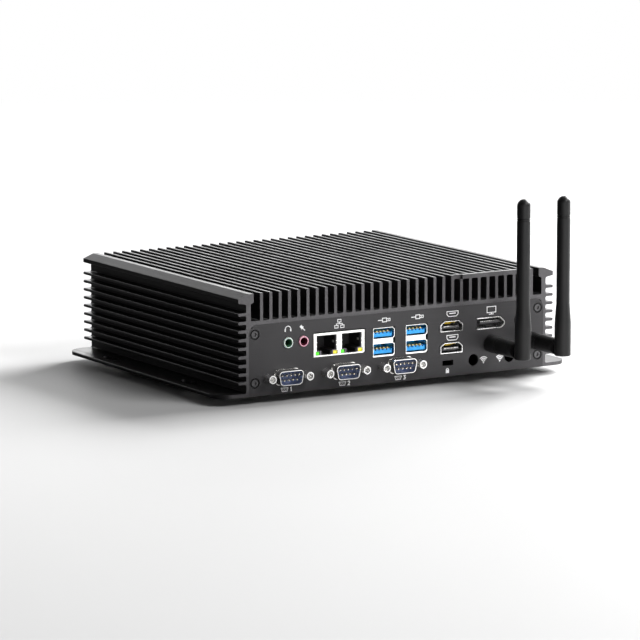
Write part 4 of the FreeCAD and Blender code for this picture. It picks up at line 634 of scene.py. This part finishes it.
# the paper throws light back up only from the front right, as if black flags lay round the product
dim = stage_mat.node("ShaderNodeBsdfDiffuse")
cast = stage_mat.math("SUBTRACT", stage_mat.math("MULTIPLY", stage_mat.axis(0), 0.75), stage_mat.math("MULTIPLY", stage_mat.axis(1), 0.66))
stage_mat.link(stage_mat.mix(stage_mat.band(cast, 0.0, 0.14), (0.07, 0.07, 0.07), (0.92, 0.92, 0.92)), dim.inputs["Color"])
pick = stage_mat.node("ShaderNodeMixShader")
stage_path = stage_mat.node("ShaderNodeLightPath")
stage_out = stage_mat.tree.nodes["Material Output"]
stage_mat.link(stage_path.outputs["Is Camera Ray"], pick.inputs[0])
stage_mat.link(dim.outputs[0], pick.inputs[1])
away = stage_mat.math("ADD", stage_mat.math("MULTIPLY", stage_mat.axis(0), 0.51), stage_mat.math("MULTIPLY", stage_mat.axis(1), 0.86))
white = stage_mat.node("ShaderNodeEmission")
fade = stage_mat.node("ShaderNodeMixShader")
stage_mat.link(stage_mat.band(away, 0.45, 1.5), fade.inputs[0])
stage_mat.link(stage_mat.shader.outputs[0], fade.inputs[1])
stage_mat.link(white.outputs[0], fade.inputs[2])
stage_mat.link(fade.outputs[0], pick.inputs[2])
stage_mat.link(pick.outputs[0], stage_out.inputs["Surface"])
bpy.ops.mesh.primitive_grid_add(x_subdivisions=8, y_subdivisions=8, size=4.6, location=(0, 0, 0))
floor = bpy.context.object
floor.name = "floor"
floor.data.materials.append(stage_mat.mat)

world = bpy.data.worlds.new("studio")
scene.world = world
world.use_nodes = True
wt = world.node_tree
for n in list(wt.nodes):
    wt.nodes.remove(n)
out = wt.nodes.new("ShaderNodeOutputWorld")
seen = wt.nodes.new("ShaderNodeBackground")
seen.inputs["Color"].default_value = (1, 1, 1, 1)
seen.inputs["Strength"].default_value = 1.0
lit = wt.nodes.new("ShaderNodeBackground")
lit.inputs["Color"].default_value = (1, 1, 1, 1)
lit.inputs["Strength"].default_value = 0.055
mixw = wt.nodes.new("ShaderNodeMixShader")
path = wt.nodes.new("ShaderNodeLightPath")
wt.links.new(path.outputs["Is Camera Ray"], mixw.inputs[0])
wt.links.new(lit.outputs[0], mixw.inputs[1])
wt.links.new(seen.outputs[0], mixw.inputs[2])
wt.links.new(mixw.outputs[0], out.inputs["Surface"])


def softbox(name, where, at, wide, high, power):
    data = bpy.data.lights.new(name, "AREA")
    data.shape = "RECTANGLE"
    data.size, data.size_y = wide, high
    data.energy = power
    obj = bpy.data.objects.new(name, data)
    scene.collection.objects.link(obj)
    obj.location = where
    obj.rotation_mode = "QUATERNION"
    obj.rotation_quaternion = (Vector(at) - Vector(where)).to_track_quat("-Z", "Y")
    return obj


softbox("key", (1.8, 0.45, 1.10), (0.0, 0.0, 0.05), 1.3, 1.0, 140.0)
softbox("back_strip", (1.4, 2.6, 0.60), (0.0, 0.0, 0.05), 3.4, 0.8, 28.0)
softbox("back_high", (0.9, 2.4, 1.30), (0.0, 0.0, 0.05), 2.4, 0.5, 2.5)
softbox("front_fill", (0.9, -1.6, 1.5), (0.0, -0.05, 0.04), 1.0, 0.8, 36.0)
softbox("front_low", (-0.35, -2.6, 0.32), (0.0, 0.0, 0.02), 1.4, 0.4, 12.0)
softbox("top", (0.5, 0.3, 2.4), (0.0, 0.0, 0.0), 1.4, 1.4, 5.0)
# a narrow strip seen only in reflections: the light line along each left fin's tip
rim = softbox("rim", (-0.5, 2.3, 1.45), (0.0, 0.0, 0.05), 1.6, 0.4, 5.0)
rim.visible_diffuse = False

# ------------------------------------------------------------------- camera
az, el = math.radians(-30.868), math.radians(9.157)
back = Vector((math.sin(az) * math.cos(el), -math.cos(az) * math.cos(el), math.sin(el)))
target = Vector((PANEL_LO.x + 0.04741, FACE, PANEL_LO.z + 0.04099))
cam_data = bpy.data.cameras.new("camera")
cam = bpy.data.objects.new("camera", cam_data)
scene.collection.objects.link(cam)
cam_data.sensor_width = 36.0
cam_data.lens = 4190.6 / 640.0 * 36.0
cam_data.clip_start, cam_data.clip_end = 0.05, 100.0
cam.location = target + back * 2.4258
cam.rotation_mode = "QUATERNION"
cam.rotation_quaternion = (-back).to_track_quat("-Z", "Y")
scene.camera = cam
scene.view_settings.view_transform = "Standard"
scene.view_settings.look = "None"
